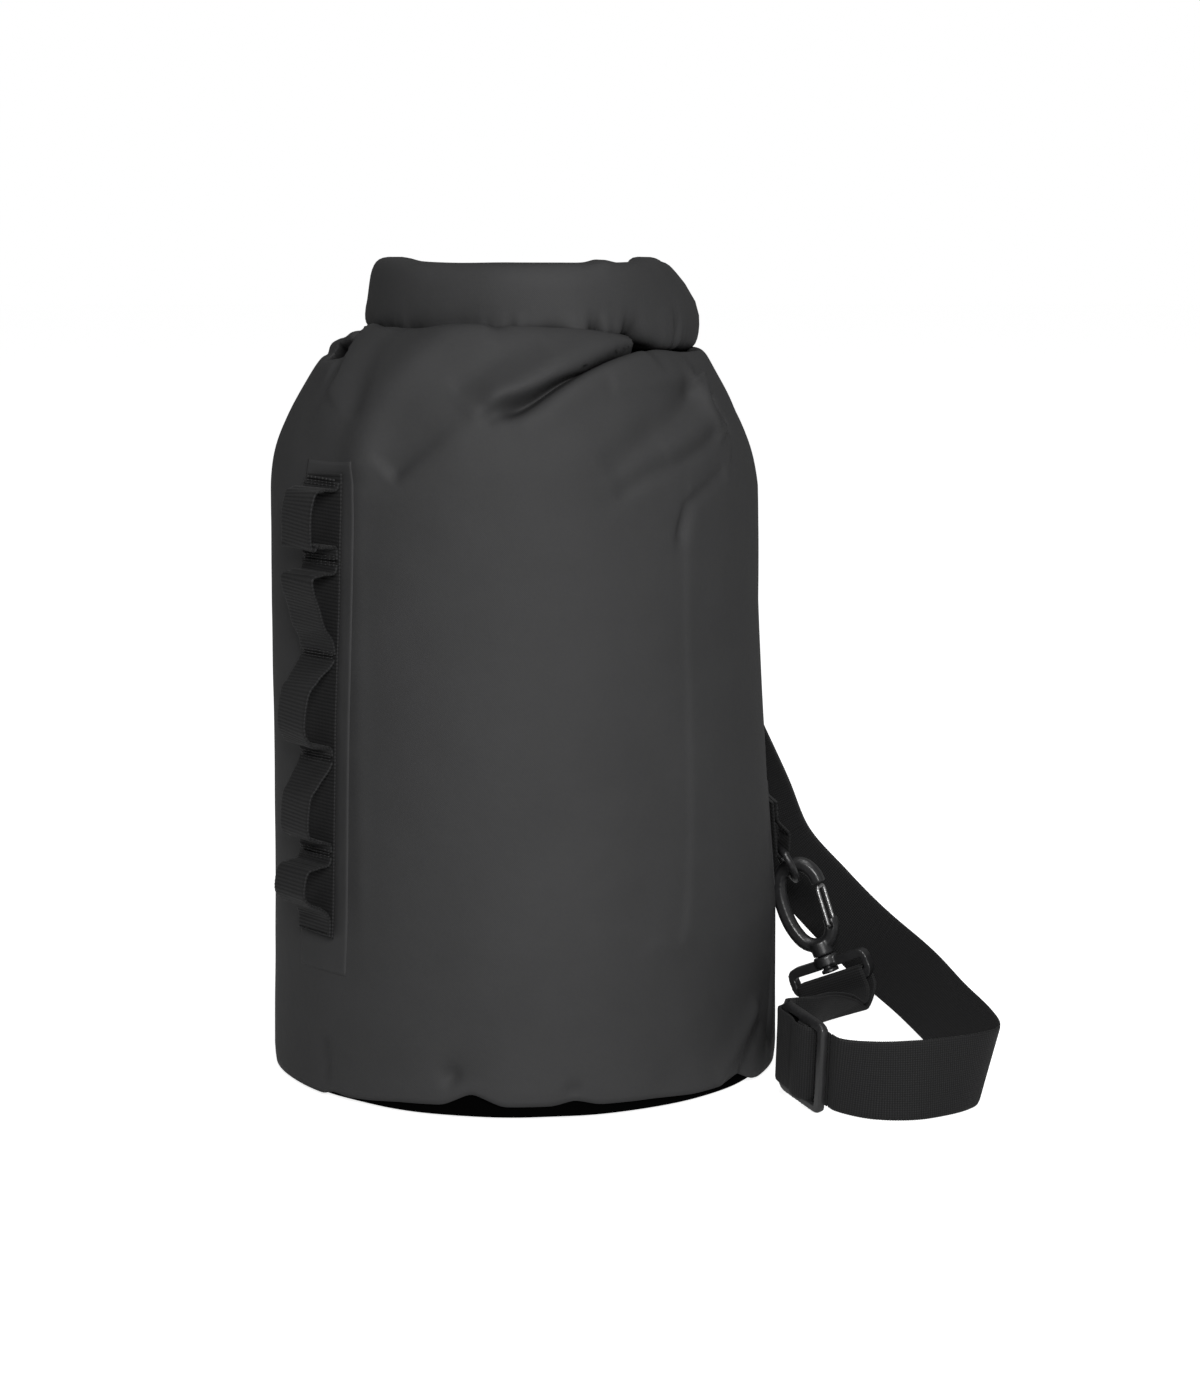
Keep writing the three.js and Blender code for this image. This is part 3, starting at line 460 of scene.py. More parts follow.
def fold_shift(points, facing):
    """How far the folds move each point out along its normal, and how far they slide it."""
    shift = np.zeros(len(points))
    slide = np.zeros_like(points)
    for stations, height, left, right, change, lean in FOLDS:
        curve = smooth_line(stations, 5)
        line = bag_surface(curve[:, 0], curve[:, 1])
        near = np.linalg.norm(points[:, None] - line[::3][None], axis=2).min(1) < FOLD_REACH
        distance, side, along, toward = line_field(points[near], facing[near], line)
        width = right + (left - right) * (0.5 + 0.5 * side)
        profile = np.exp(-((distance / width) ** 2))
        amount = height * (change[0] + (change[1] - change[0]) * along)
        amount = amount * (1 - 0.75 * smoothstep(along, 0.88, 1.0))
        if curve[0, 1] <= UNDER_ROLL:
            amount = amount * smoothstep(along, 0.0, 0.08)
        shift[near] += amount * profile
        if lean:
            slide[near] += (toward * -side[:, None]) * (lean * profile * smoothstep(along, 1.0, 0.7))[:, None]
        if height < DEEP_HOLLOW:  # the lips of a deep hollow draw together over it
            pull = np.exp(-(((distance - width * 1.1) / (width * 0.8)) ** 2))
            pull = pull * smoothstep(along, 1.0, 0.75)
            slide[near] += (-toward) * (0.15 * np.abs(amount) * pull)[:, None]
    return shift, slide


def pocket_slide(points, facing):
    slide = np.zeros_like(points)
    for stations, inward, width in POCKETS:
        curve = smooth_line(stations, 5)
        distance, _, _, _ = line_field(points, facing, bag_surface(curve[:, 0], curve[:, 1]))
        slide += np.exp(-((distance / width) ** 4))[:, None] * np.array(inward, float)
    return slide


def dent_depth(points):
    depths = np.zeros(len(points))
    for degrees, row, depth, width in DENTS:
        centre = bag_surface(np.array([degrees]), np.array([row]))[0]
        depths += depth * np.exp(-((np.linalg.norm(points - centre, axis=1) / width) ** 2))
    return depths


def bag_grid():
    theta = np.arange(COLUMNS) * 360 / COLUMNS - 180
    rows = np.concatenate([np.linspace(0, 1, WALL_ROWS), np.linspace(1, 2, SHOULDER_ROWS + 1)[1:]])
    across, up = np.meshgrid(theta, rows)
    smooth = bag_surface(across, up)
    points, facing = smooth.reshape(-1, 3), normals_of(smooth).reshape(-1, 3)
    row, degrees = up.ravel(), across.ravel()
    shift, slide = fold_shift(points, facing)
    slide += pocket_slide(points, facing)
    shift -= dent_depth(points)
    # the wall is drawn tight, and the shoulder is loose
    loose = smoothstep(row, 0.75, 1.3)
    shift += ripple(points, 70, 3.1) * (0.9 + 0.6 * loose) + 1.2 * loose
    shift += ripple(points, 24, 8.7) * (0.15 + 0.7 * loose)
    # at the left end and under the front the fabric tucks in below the roll
    neck = smoothstep(degrees, -52, -60) * smoothstep(degrees, -126, -112)
    shift -= neck * (6 * smoothstep(row, 1.7, 1.86) + 12 * smoothstep(row, 1.85, 1.92))
    under = smoothstep(degrees, -48, -32) * smoothstep(degrees, 22, 4)
    shift -= 5 * under * smoothstep(row, 1.88, 1.96)
    edge = smoothstep(row, 2.0, 1.9)
    moved = points + facing * (shift * (0.35 + 0.65 * edge))[:, None] + slide
    grid = moved.reshape(smooth.shape)
    grid[..., 2] += hem_height(theta)[None] * (1 - smoothstep(up, 0, 0.06))
    # the hem is welded flat to the base panel below it, and stands a little proud above the weld
    grid[..., :2] *= (1 - 0.006 * (1 - smoothstep(up, 0, 0.018)))[..., None]
    return rows, grid


ROWS, BAG = bag_grid()
BAG_NORMALS = normals_of(BAG)


def bag_body():
    faces = grid_faces(len(ROWS), COLUMNS, closed=True)
    u = np.tile(np.arange(COLUMNS) / COLUMNS * GIRTH * MM, len(ROWS))
    v = np.repeat(ROWS * 0.28, COLUMNS)
    obj = new_object("bag_body", BAG.reshape(-1, 3), faces, np.stack([u, v], -1))
    thicken(obj, COAT)
    finish_piece(obj, "root", CLOTH, "coated_fabric", "side_wall")


def on_wall(theta, z, stand=0.0):
    """Point on the finished fabric at an azimuth and height on the wall, lifted off it."""
    theta, z = np.broadcast_arrays(np.asarray(theta, float), np.asarray(z, float))
    column = ((theta + 180) / 360 * COLUMNS) % COLUMNS
    i = np.floor(column).astype(int) % COLUMNS
    part = (column - np.floor(column))[..., None]
    heights = BAG[:, COLUMNS // 2, 2][:WALL_ROWS + SHOULDER_ROWS // 2]
    level = np.interp(z, heights, np.arange(len(heights)))
    j = np.floor(level).astype(int)
    rise = (level - j)[..., None]
    k, n = (i + 1) % COLUMNS, np.minimum(j + 1, len(ROWS) - 1)

    def sample(grid):
        low = grid[j, i] * (1 - part) + grid[j, k] * part
        high = grid[n, i] * (1 - part) + grid[n, k] * part
        return low * (1 - rise) + high * rise

    return sample(BAG) + unit(sample(BAG_NORMALS)) * np.asarray(stand, float)[..., None]


# ---- The base ----
def lathe(name, profile, wobble, segments=192):
    """A turned sheet through (radius, height) stations that wobbles up and down away from its middle."""
    profile = smooth_line(profile, 4)
    angle = np.arange(segments) * 2 * math.pi / segments
    radius, height = (np.repeat(profile[:, k:k + 1], segments, axis=1) for k in (0, 1))
    points = np.stack([radius * np.sin(angle), -radius * np.cos(angle), height], -1)
    points[..., 2] += wobble * ripple(points, 30, 5.0) * smoothstep(profile[:, :1], 20, 60)
    uvs = np.stack([points[..., 0], points[..., 1]], -1).reshape(-1, 2) * MM
    return new_object(name, points.reshape(-1, 3), grid_faces(len(profile), segments, closed=True), uvs)


def base_panel():
    profile = [(0.5, 1.6), (40, 1.5), (80, 1.1), (108, 0.7), (117, 0.8), (120.6, 1.6), (121.9, 3.4),
               (121.3, 6.5), (120.6, 12), (120.0, 18)]
    obj = lathe("base_panel_cloth", profile, 0.35)
    thicken(obj, 1.2)
    finish_piece(obj, "root", BASE_CLOTH, "base_fabric", "base_panel")


# ---- The roll ----
def roll_section(turns=3.1, samples=34):
    """The rolled mouth's section: a strip wound flat, as outward and up distances from the outside in."""
    angles = np.linspace(0, turns * 2 * math.pi, int(turns * samples))
    shrink = 1 - 0.235 * angles / (2 * math.pi)
    start = math.radians(-110)
    c, s = np.cos(start + angles), np.sin(start + angles)
    across = np.sign(c) * np.abs(c) ** 0.5 * (ROLL_THICK / 2) * shrink
    up = np.sign(s) * np.abs(s) ** 0.62 * (ROLL_HEIGHT / 2 - (1 - shrink) * ROLL_THICK / 2)
    return across, up


# Bumps of the roll's top edge: where along it (mm from its middle), height and half width
ROLL_BUMPS = [(-68, 1.6, 9), (2, 0.8, 34), (31, 1.7, 4.5), (60, 2.4, 4.5)]


def roll_points(angles, across, up):
    """Points of the roll at angles round its loop and places in its section: outward, up."""
    x, y = roll_line(angles)
    ox, oy = roll_line(angles, 1.0)
    outward = np.stack([ox - x, oy - y], -1)
    a = np.abs(angles)[:, None]
    at_front = smoothstep(a, 100, 80)
    right = smoothstep(angles, 30, 80)[:, None] * smoothstep(a, 150, 112)
    left = smoothstep(-angles, 50, 88)[:, None] * smoothstep(a, 150, 120)
    bow = (up / (ROLL_HEIGHT / 2))[None]
    lower, upper = np.clip(-bow, 0, 1), np.clip(bow, 0, 1)
    top = sum(h * np.exp(-(((x - ROLL_CENTRE[0] - at) / w) ** 2)) for at, h, w in ROLL_BUMPS)
    top = top[:, None] * at_front
    # the right end hangs lower and leans in at the top; the left end is cut square
    height = up[None] + upper * (top - 1.0 * right) - lower * (8.5 * right - 1.2 * left)
    lean = -13.0 * smoothstep(bow, -0.5, 1.0) * right + (4.0 * lower - 1.5 * upper) * left
    shell = across[None] * (1 - 0.2 * smoothstep(a, 132, 150)) + lean
    grid = np.stack([x[:, None] + outward[:, :1] * shell, y[:, None] + outward[:, 1:] * shell,
                     ROLL_CENTRE[2] + height - roll_drop(angles)[:, None]], -1)
    return grid, outward


def roll_top():
    angles = np.linspace(-ROLL_END, ROLL_END, 361)
    across, up = roll_section()
    grid, outward = roll_points(angles, across, up)
    s = np.radians(angles)[:, None]
    height = up / (ROLL_HEIGHT / 2)
    outer = smoothstep(np.abs(across), 3, 9)[None]
    # gathers: short puckers that stay in the front's lower third, few on the left and close on the right
    low = smoothstep(-height, 0.15, 0.95)[None]
    strength = (0.2 + 0.8 * smoothstep(angles, -15, 25)) * smoothstep(np.abs(angles), 70, 52)
    strength = strength[:, None]
    stray = 2.6 * np.sin(s * 4.3 + 0.7) + 1.7 * np.sin(s * 9.1 + 2.0)
    pucker = np.clip(np.sin(s * 27 + stray) + 0.6 * np.sin(s * 44 + 2 * stray), -0.9, 1.1)
    reach = np.where(height < 0, 1, 0)[None] * pucker * strength * low * 2.4
    # a soft crease that slants up along the front
    crease = -0.9 * np.exp(-(((height[None] + 0.25 - 0.5 * s) / 0.14) ** 2)) * smoothstep(s, -0.9, -0.3)
    crease = crease * smoothstep(s, 1.5, 0.9)
    reach = reach + (crease + ripple(grid, 26, 1.7) * 0.8 + ripple(grid, 60, 5.2) * 1.6) * outer
    grid[..., :2] += outward[:, None] * (reach * np.sign(across))[..., None]
    grid[..., 2] += ripple(grid, 34, 9.1) * 0.6 * np.abs(height) - 0.9 * reach * low
    u = np.repeat((angles / ROLL_END) * ROLL_LENGTH / 2, len(up)) * MM
    run = np.concatenate([[0], np.cumsum(np.hypot(np.diff(across), np.diff(up)))])
    v = np.tile(run, len(angles)) * MM
    faces = grid_faces(len(angles), len(up))
    obj = new_object("roll_cloth", grid.reshape(-1, 3), faces, np.stack([u, v], -1))
    thicken(obj, COAT, 0.0)
    finish_piece(obj, "root", CLOTH, "coated_fabric", "roll_top")


def mouth_stiffener():
    """A strip inside the roll, seen only at the roll's open ends."""
    end = ROLL_END - 5
    angles = np.linspace(-end, end, 181)
    up = np.linspace(-11.5, 11.5, 7)
    grid, _ = roll_points(angles, 0.0 * up, up)
    obj = new_object("stiffener_strip", grid.reshape(-1, 3), grid_faces(len(angles), len(up)))
    thicken(obj, 1.6, 0.0)
    finish_piece(obj, "root", STRIP, "stiffener_strip", "mouth_stiffener")


# ---- Webbing ----
def run_along(line):
    """Each point's distance along a line from its first point."""
    return np.concatenate([[0], np.cumsum(np.linalg.norm(np.diff(line, axis=0), axis=1))])


def ribbon(name, node_name, line, ways, width=WEB_WIDTH, pitch=RIB, start=0.0):
    """Webbing for a CAD node along a line, with its ribs in the mesh. ways point across its width."""
    deep = 0.16 * pitch
    line = np.asarray(line, float)
    run = run_along(line)
    count = max(8, int(run[-1] / (pitch / 4)) + 1)
    at = np.linspace(0, run[-1], count)
    p = np.stack([np.interp(at, run, line[:, k]) for k in range(3)], -1)
    w = np.stack([np.interp(at, run, np.asarray(ways, float)[:, k]) for k in range(3)], -1)
    forward = unit(np.gradient(p, axis=0))
    w = unit(w - forward * (w * forward).sum(1)[:, None])
    face = np.cross(forward, w)
    half = width / 2
    lanes = np.array([-1, -0.93, -0.8, -0.5, 0, 0.5, 0.8, 0.93, 1])
    ribs = 0.5 + 0.5 * np.sin(2 * math.pi * (at + start) / pitch)
    edge_thin = np.where(np.abs(lanes) == 1, 0.55, 1.0)
    section = []
    for side in (1, -1):
        for lane, thin in zip(lanes[::side], edge_thin[::side]):
            rise = side * (WEB_THICK / 2 * thin - deep * (1 - ribs) * (1 if abs(lane) < 1 else 0.4))
            wave = half * lane + (0.12 * lane if abs(lane) == 1 else 0) * ribs
            section.append(p + w * wave[:, None] + face * rise[:, None])
    grid = np.stack(section, 1)
    columns = grid.shape[1]
    faces = grid_faces(count, columns, closed=True)
    faces += [tuple(range(columns))[::-1], tuple((count - 1) * columns + i for i in range(columns))]
    across = np.concatenate([lanes, lanes[::-1] + 0.02]) * half * MM
    u = np.tile(across, count)
    v = np.repeat((at + start) * MM * RIB / pitch, columns)
    obj = new_object(name, grid.reshape(-1, 3), faces, np.stack([u, v], -1))
    for polygon in obj.data.polygons[-2:]:
        polygon.use_smooth = False
    return finish_piece(obj, "root", WEBBING, "webbing", node_name)


def route(stations, per_span=10):
    """A smooth line through (point, width direction) stations."""
    line = smooth_line([s[0] for s in stations], per_span)
    ways = unit(smooth_line([unit(np.array(s[1], float)) for s in stations], per_span))
    return line, ways


STITCH_STAND = WEB_THICK / 2 + 0.05  # from the middle of the webbing to the middle of a stitch


def stitches(name, rows, length=2.6, radius=0.28):
    """Lock stitches: short threads that dive at each end. rows are (start, end, surface normal)."""
    rings, sides = 6, 6
    thread = grid_faces(rings, sides, closed=True)
    thread += [tuple(range(sides))[::-1], tuple(range((rings - 1) * sides, rings * sides))]
    points, faces = [], []
    for start, end, normal in rows:
        start, end, normal = (np.asarray(v, float) for v in (start, end, normal))
        span = np.linalg.norm(end - start)
        way = (end - start) / span
        side = np.cross(normal, way)
        count = max(1, int(span / length))
        for k in range(count):
            a, b = (k + 0.08) / count * span, (k + 0.92) / count * span
            first = len(points)
            for t in np.linspace(0, 1, rings):
                rise = radius * (1.3 * math.sin(math.pi * t) - 0.35)
                centre = start + way * (a + (b - a) * t) + normal * rise
                for turn in np.arange(sides) * 2 * math.pi / sides:
                    points.append(centre + side * radius * math.cos(turn) + normal * radius * math.sin(turn))
            faces += [tuple(first + i for i in face) for face in thread]
    return finish_piece(new_object(name, points, faces), "root", THREAD, "webbing")


def crossed_box(half, first, last):
    """The lines of a stitched box with a cross in it, as pairs of (across, along) places."""
    corners = [(-half, first), (half, first), (half, last), (-half, last), (-half, first)]
    crosses = [((-half, first), (half, last)), ((half, first), (-half, last))]
    return list(zip(corners, corners[1:])) + crosses


# ---- The daisy chain ----
DAISY_Z = [296, 259, 214, 166, 120, 80]
# Each loop's shape, as (how far down from its upper stitching to its lower one, mm off the wall)
LOOP_SHAPES = [
    [(0.03, 4), (0.09, 4.6), (0.12, 12), (0.22, 17.5), (0.45, 19), (0.72, 18.5), (0.8, 14), (0.83, 7),
     (0.88, 4.2), (0.97, 4)],
    [(0.03, 4), (0.1, 4.6), (0.13, 12), (0.19, 18), (0.3, 17), (0.46, 14), (0.68, 10.5), (0.85, 5.4),
     (0.97, 4)],
    [(0.03, 4), (0.09, 6), (0.23, 12.5), (0.42, 18), (0.64, 19), (0.82, 15.5), (0.88, 9), (0.91, 4.6),
     (0.97, 4)],
    [(0.03, 4), (0.1, 5.6), (0.27, 11.5), (0.48, 16), (0.68, 16.5), (0.83, 12), (0.88, 6), (0.92, 4.2),
     (0.97, 4)],
    [(0.03, 4), (0.1, 4.8), (0.14, 11), (0.24, 18), (0.42, 19), (0.56, 15.5), (0.64, 9), (0.74, 5),
     (0.84, 4), (0.97, 4)],
]
# How far the middle of each loop turns: mm of rise over the 8.6 mm of wall its direction is taken from
LOOP_TURN = [1.2, 0.6, 1.2, 0.8, 0.4]
BACKING_BOTTOM, BACKING_TOP = 80, 299
PATCH_BOTTOM, PATCH_TOP, PATCH_SPAN = 62, 305, 8.6  # millimetres, and degrees either side of its middle
PATCH_THICK = 0.4


def daisy_angle(z):
    """Azimuth of the chain's middle, which leans in a little towards its top."""
    return -50 + 4.5 * (np.asarray(z, float) - BACKING_BOTTOM) / (BACKING_TOP - BACKING_BOTTOM)


def daisy_ways(z):
    """Directions across the chain."""
    return on_wall(daisy_angle(z) + 2, z) - on_wall(daisy_angle(z) - 2, z)


def patch_piece(name, points, theta, z, node_name):
    uvs = np.stack([theta * WALL_RADIUS * math.pi / 180, z], -1).reshape(-1, 2) * MM
    obj = new_object(name, points.reshape(-1, 3), grid_faces(*theta.shape), uvs)
    thicken(obj, PATCH_THICK)
    finish_piece(obj, "root", CLOTH, "coated_fabric", node_name)


def daisy_patch():
    heights = np.linspace(PATCH_BOTTOM, PATCH_TOP, 122)
    spans = np.linspace(-PATCH_SPAN, PATCH_SPAN, 25)
    theta = daisy_angle(heights)[:, None] + spans[None]
    inside = PATCH_SPAN - np.abs(spans[None])
    ends = np.minimum(heights - PATCH_BOTTOM, PATCH_TOP - heights)[:, None]
    border = np.minimum(np.minimum(inside, 0.6) / 0.6, np.minimum(ends, 1.2) / 1.2)
    groove = 0.1 * np.exp(-((inside - 1.2) / 0.3) ** 2)
    stand = 0.05 + 0.25 * border - groove
    z = np.broadcast_to(heights[:, None], theta.shape)
    flat = on_wall(theta, z)
    lifted = flat + unit(on_wall(theta, z, 1.0) - flat) * stand[..., None]
    patch_piece("daisy_patch_cloth", lifted, theta, z, "daisy_patch")


def daisy_backing():
    z = np.linspace(BACKING_TOP, BACKING_BOTTOM, 60)
    line = on_wall(daisy_angle(z), z, 2.4)
    ribbon("daisy_backing_web", "daisy_backing", line, daisy_ways(z))


def daisy_loops():
    for i, shape in enumerate(LOOP_SHAPES):
        top, bottom = DAISY_Z[i], DAISY_Z[i + 1]
        down, stand = smooth_line(shape, 9).T
        z = top - (top - bottom) * down
        line = on_wall(daisy_angle(z), z, stand)
        # the free webbing turns a little, so that its right edge stands farther out
        outward = on_wall(daisy_angle(z), z, 1.0) - on_wall(daisy_angle(z), z)
        ways = daisy_ways(z) + outward * (smoothstep(stand, 4, 14) * LOOP_TURN[i])[:, None]
        ribbon(f"daisy_loop_web_{i + 1}", f"daisy_loop_{i + 1}", line, ways, start=i * 0.4)


def daisy_stitching():
    """Four rows of stitches across the webbing at each of the chain's sewn points."""
    rows = []
    half, stand = 5.2, 5.1  # degrees to either side, and millimetres off the wall
    for z in DAISY_Z:
        for rise in (-2.2, -0.8, 0.6, 2.0):
            level = min(max(z + rise, BACKING_BOTTOM + 2), BACKING_TOP - 2)
            azimuth = daisy_angle(level)
            left, middle, right = (on_wall(azimuth + turn, level, stand) for turn in (-half, 0, half))
            normal = unit(on_wall(azimuth, level, 1.0) - on_wall(azimuth, level))
            rows += [(left, middle, normal), (middle, right, normal)]
    stitches("daisy_stitching", rows)


# ---- Moulded parts ----
def moulded_copy(name, body, material=PLASTIC, slot="moulded_plastic", voxel=0.5, rounds=5, swell=0.0):
    """A fine copy of a CAD node, with rounded edges, and with its faces moved out by the swell (mm)."""
    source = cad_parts[name]
    obj = bpy.data.objects.new(f"{name}_moulded", source.data.copy())
    bpy.context.scene.collection.objects.link(obj)
    remesh = obj.modifiers.new("remesh", "REMESH")
    remesh.mode = "VOXEL"
    remesh.voxel_size = voxel * MM
    soften = obj.modifiers.new("soften", "SMOOTH")
    soften.factor = 0.5
    soften.iterations = rounds
    if swell:
        fuller = obj.modifiers.new("fuller", "DISPLACE")
        fuller.mid_level = 0
        fuller.strength = swell * MM
    apply_modifiers(obj)
    obj.data.polygons.foreach_set("use_smooth", [True] * len(obj.data.polygons))
    return finish_piece(obj, body, material, slot, name)


def hardware():
    for side in ("lower", "upper"):
        moulded_copy(f"{side}_ring", f"{side}_ring")
        moulded_copy(f"{side}_hook_body", f"{side}_hook")
        moulded_copy(f"{side}_hook_eye", "root")
        moulded_copy(f"{side}_hook_gate", f"{side}_gate", STEEL, "gate_wire", voxel=0.3)
    moulded_copy("buckle_female", "root")
    moulded_copy("buckle_male", "root")
    for side in ("top", "bottom"):
        moulded_copy(f"buckle_arm_{side}", f"buckle_arm_{side}", voxel=0.4, rounds=3)


# ---- Tabs and patches under the rings ----
CLIPS = {"lower": (99, 101), "upper": (140, 273)}  # azimuth and height of each ring's bar
RING_STAND = 5.3  # from the wall to the middle of the ring's bar
RING_WRAP = 3.15  # from the middle of the bar to the middle of the webbing round it
TAB_LENGTH = 25
RING_PATCH_DOWN, RING_PATCH_UP, RING_PATCH_SPAN = 16, 38, 9.5
TAB_BOX = (10, 17, 23.5)  # half width, foot and head of the stitched box, from the bar


def ring_patch(name, azimuth, z):
    heights = np.linspace(z - RING_PATCH_DOWN, z + RING_PATCH_UP, 50)
    spans = np.linspace(-RING_PATCH_SPAN, RING_PATCH_SPAN, 30)
    theta, level = np.meshgrid(azimuth + spans, heights)
    ends = np.minimum(heights - heights[0], heights[-1] - heights)
    inside = np.minimum((RING_PATCH_SPAN - np.abs(spans))[None] * 2.1, ends[:, None])
    stand = 0.1 + 0.5 * smoothstep(inside, 0, 1.6) - 0.2 * np.exp(-(((inside - 3.2) / 0.8) ** 2))
    points = on_wall(theta, level, stand)
    patch_piece(f"{name}_ring_patch_cloth", points, theta, level, f"{name}_ring_patch")


def ring_tab(name, azimuth, z):
    """Webbing sewn flat to its patch, round the ring's bar and back up over itself."""
    back = RING_STAND - RING_WRAP
    front = back + WEB_THICK + 0.4
    profile = [(back, rise) for rise in (TAB_LENGTH, 20, 14, 6, 2)]
    for turn in np.radians(np.arange(180, 361, 30)):
        profile.append((RING_STAND + RING_WRAP * math.cos(turn), RING_WRAP * math.sin(turn)))
    profile += [(front + 4.8, 4), (front + 5.2, 8), (front + 2.2, 12), (front, 15.5), (front, TAB_LENGTH)]
    profile = smooth_line(profile, 5)
    heights = z + np.maximum(profile[:, 1], 0)
    points = on_wall(azimuth, heights, profile[:, 0])
    points[:, 2] += np.minimum(profile[:, 1], 0)
    turn = math.radians(azimuth)
    ways = np.tile([math.cos(turn), math.sin(turn), 0], (len(points), 1))
    ribbon(f"{name}_ring_tab_web", f"{name}_ring_tab", points, ways)
    rows = []
    normal = on_wall(azimuth, z + 20, 1.0) - on_wall(azimuth, z + 20)
    for ends in crossed_box(*TAB_BOX):
        across, rise = np.array(ends, float).T
        start, end = on_wall(azimuth + np.degrees(across / 120), z + rise, front + STITCH_STAND)
        rows.append((start, end, normal))
    stitches(f"{name}_tab_stitching", rows)


# ---- The shoulder strap ----
class Frame:
    """A right-handed set of axes at a place, in millimetres."""

    def __init__(self, origin, x, z):
        self.origin, self.z = np.array(origin, float), unit(np.array(z, float))
        x = np.array(x, float)
        self.x = unit(x - self.z * (x @ self.z))
        self.y = np.cross(self.z, self.x)

    def at(self, x, y, z):
        return self.origin + self.x * x + self.y * y + self.z * z


# Each clip's swivel eye: its x runs along its bars, and its z up the clip
LOWER_EYE = Frame((149.78, 15.44, 47.84), (0.84, -0.45, 0.25), (-0.36, 0.15, 0.92))
UPPER_EYE = Frame((91.91, 99.74, 219.33), (-0.73, 0.68, 0.2), (-0.12, 0.1, 0.98))
# The tri-glide: its x is its height, and its z runs along the strap
GLIDE = Frame((133, -102, 25.5), (0.04, -0.25, 0.96), (0.54, -0.82, -0.2))
EYE_BAR = -16.0  # the middle of the eye's lower bar
GLIDE_HALF_THICK, GLIDE_BAR_HALF = 1.5, 2.5  # half of its thickness, and of its middle bar's width
GLIDE_GAP = 0.4  # between plastic and webbing, and between two layers of webbing


def round_eye(eye):
    """Stations round the eye's lower bar, from its back face over to its front face."""
    half, rise, foot = 4.35, 3.85, -7
    shape = [(-half, foot), (-half, 1.2), (0.5 - half, rise - 0.5), (-1.2, rise)]
    shape += [(-y, z) for y, z in shape[::-1]]
    return [(eye.at(0, y, EYE_BAR + z), eye.x) for y, z in shape]


def at_glide(along, face, way=1):
    """A station beside the tri-glide: along the strap, and towards the side that shows."""
    return GLIDE.at(0, face, along), way * GLIDE.x


def sewn_box(name, line, ways, half, first, last):
    """A stitched box on both faces of a stretch of strap, from first to last millimetres along it."""
    run = run_along(line)

    def at(along, values):
        return np.array([np.interp(along, run, values[:, k]) for k in range(3)])

    def place(across, along):
        p = at(along, line)
        w = unit(at(along, ways))
        return p + w * across, unit(np.cross(at(along + 1, line) - p, w))

    rows = []
    parts = 4  # each line of stitches is laid in this many straight parts, to follow the strap
    for start, end in crossed_box(half, first, last):
        (a0, s0), (a1, s1) = start, end
        for side in (1, -1):
            for k in range(parts):
                ends = [place(a0 + (a1 - a0) * t, s0 + (s1 - s0) * t) for t in (k / parts, (k + 1) / parts)]
                (p0, n0), (p1, n1) = ends
                rows.append((p0 + n0 * side * STITCH_STAND, p1 + n1 * side * STITCH_STAND, n0 * side))
    stitches(name, rows)


def shoulder_strap():
    """From its sewn end round the upper eye, down behind the bag and round in front to the tri-glide."""
    drops = [(UPPER_EYE.at(0, 0.95, z), UPPER_EYE.x) for z in (-30, -42)]
    tail = [(UPPER_EYE.at(0, -1, z), UPPER_EYE.x) for z in (-52, -44, -36, -28)]
    free = [
        ((107, 90, 148), (-0.8, 0.6, 0)),
        ((120, 81, 118), (-0.78, 0.5, -0.35)),
        ((131, 70, 91), (-0.72, 0.35, -0.55)),
        ((152, 58, 68), (-0.66, 0.3, -0.66)),
        ((174, 40, 48), (-0.62, 0.3, -0.72)),
        ((195, 6, 35), (-0.5, 0.25, -0.82)),
        ((209, -30, 26), (-0.35, 0.15, -0.9)),
        ((219, -62, 21), (-0.3, 0.05, -0.95)),
        ((222, -82, 19.3), (-0.26, 0.04, -0.96)),
        ((220, -95, 19.3), (-0.23, 0.04, -0.97)),
        ((213, -104, 19.3), (-0.16, 0.04, -0.98)),
        ((200, -113, 19.3), (-0.06, 0.02, -1)),
        ((184, -120, 19.3), (0, 0, -1)),
        ((165, -121, 19.5), (0.02, 0.08, -1)),
        at_glide(22, -3.6, -1),
        at_glide(17.2, -3, -1),
    ]
    line, ways = route(tail + round_eye(UPPER_EYE) + drops + free)
    strap = ribbon("shoulder_strap_web", "shoulder_strap", line, ways, STRAP_WIDTH, FINE_RIB)
    sewn_box("strap_end_stitching", line, ways, 15, 3, 21)
    path, _ = route(drops + free, 3)
    return strap, np.vstack([[UPPER_EYE.at(0, 0, EYE_BAR)], path])


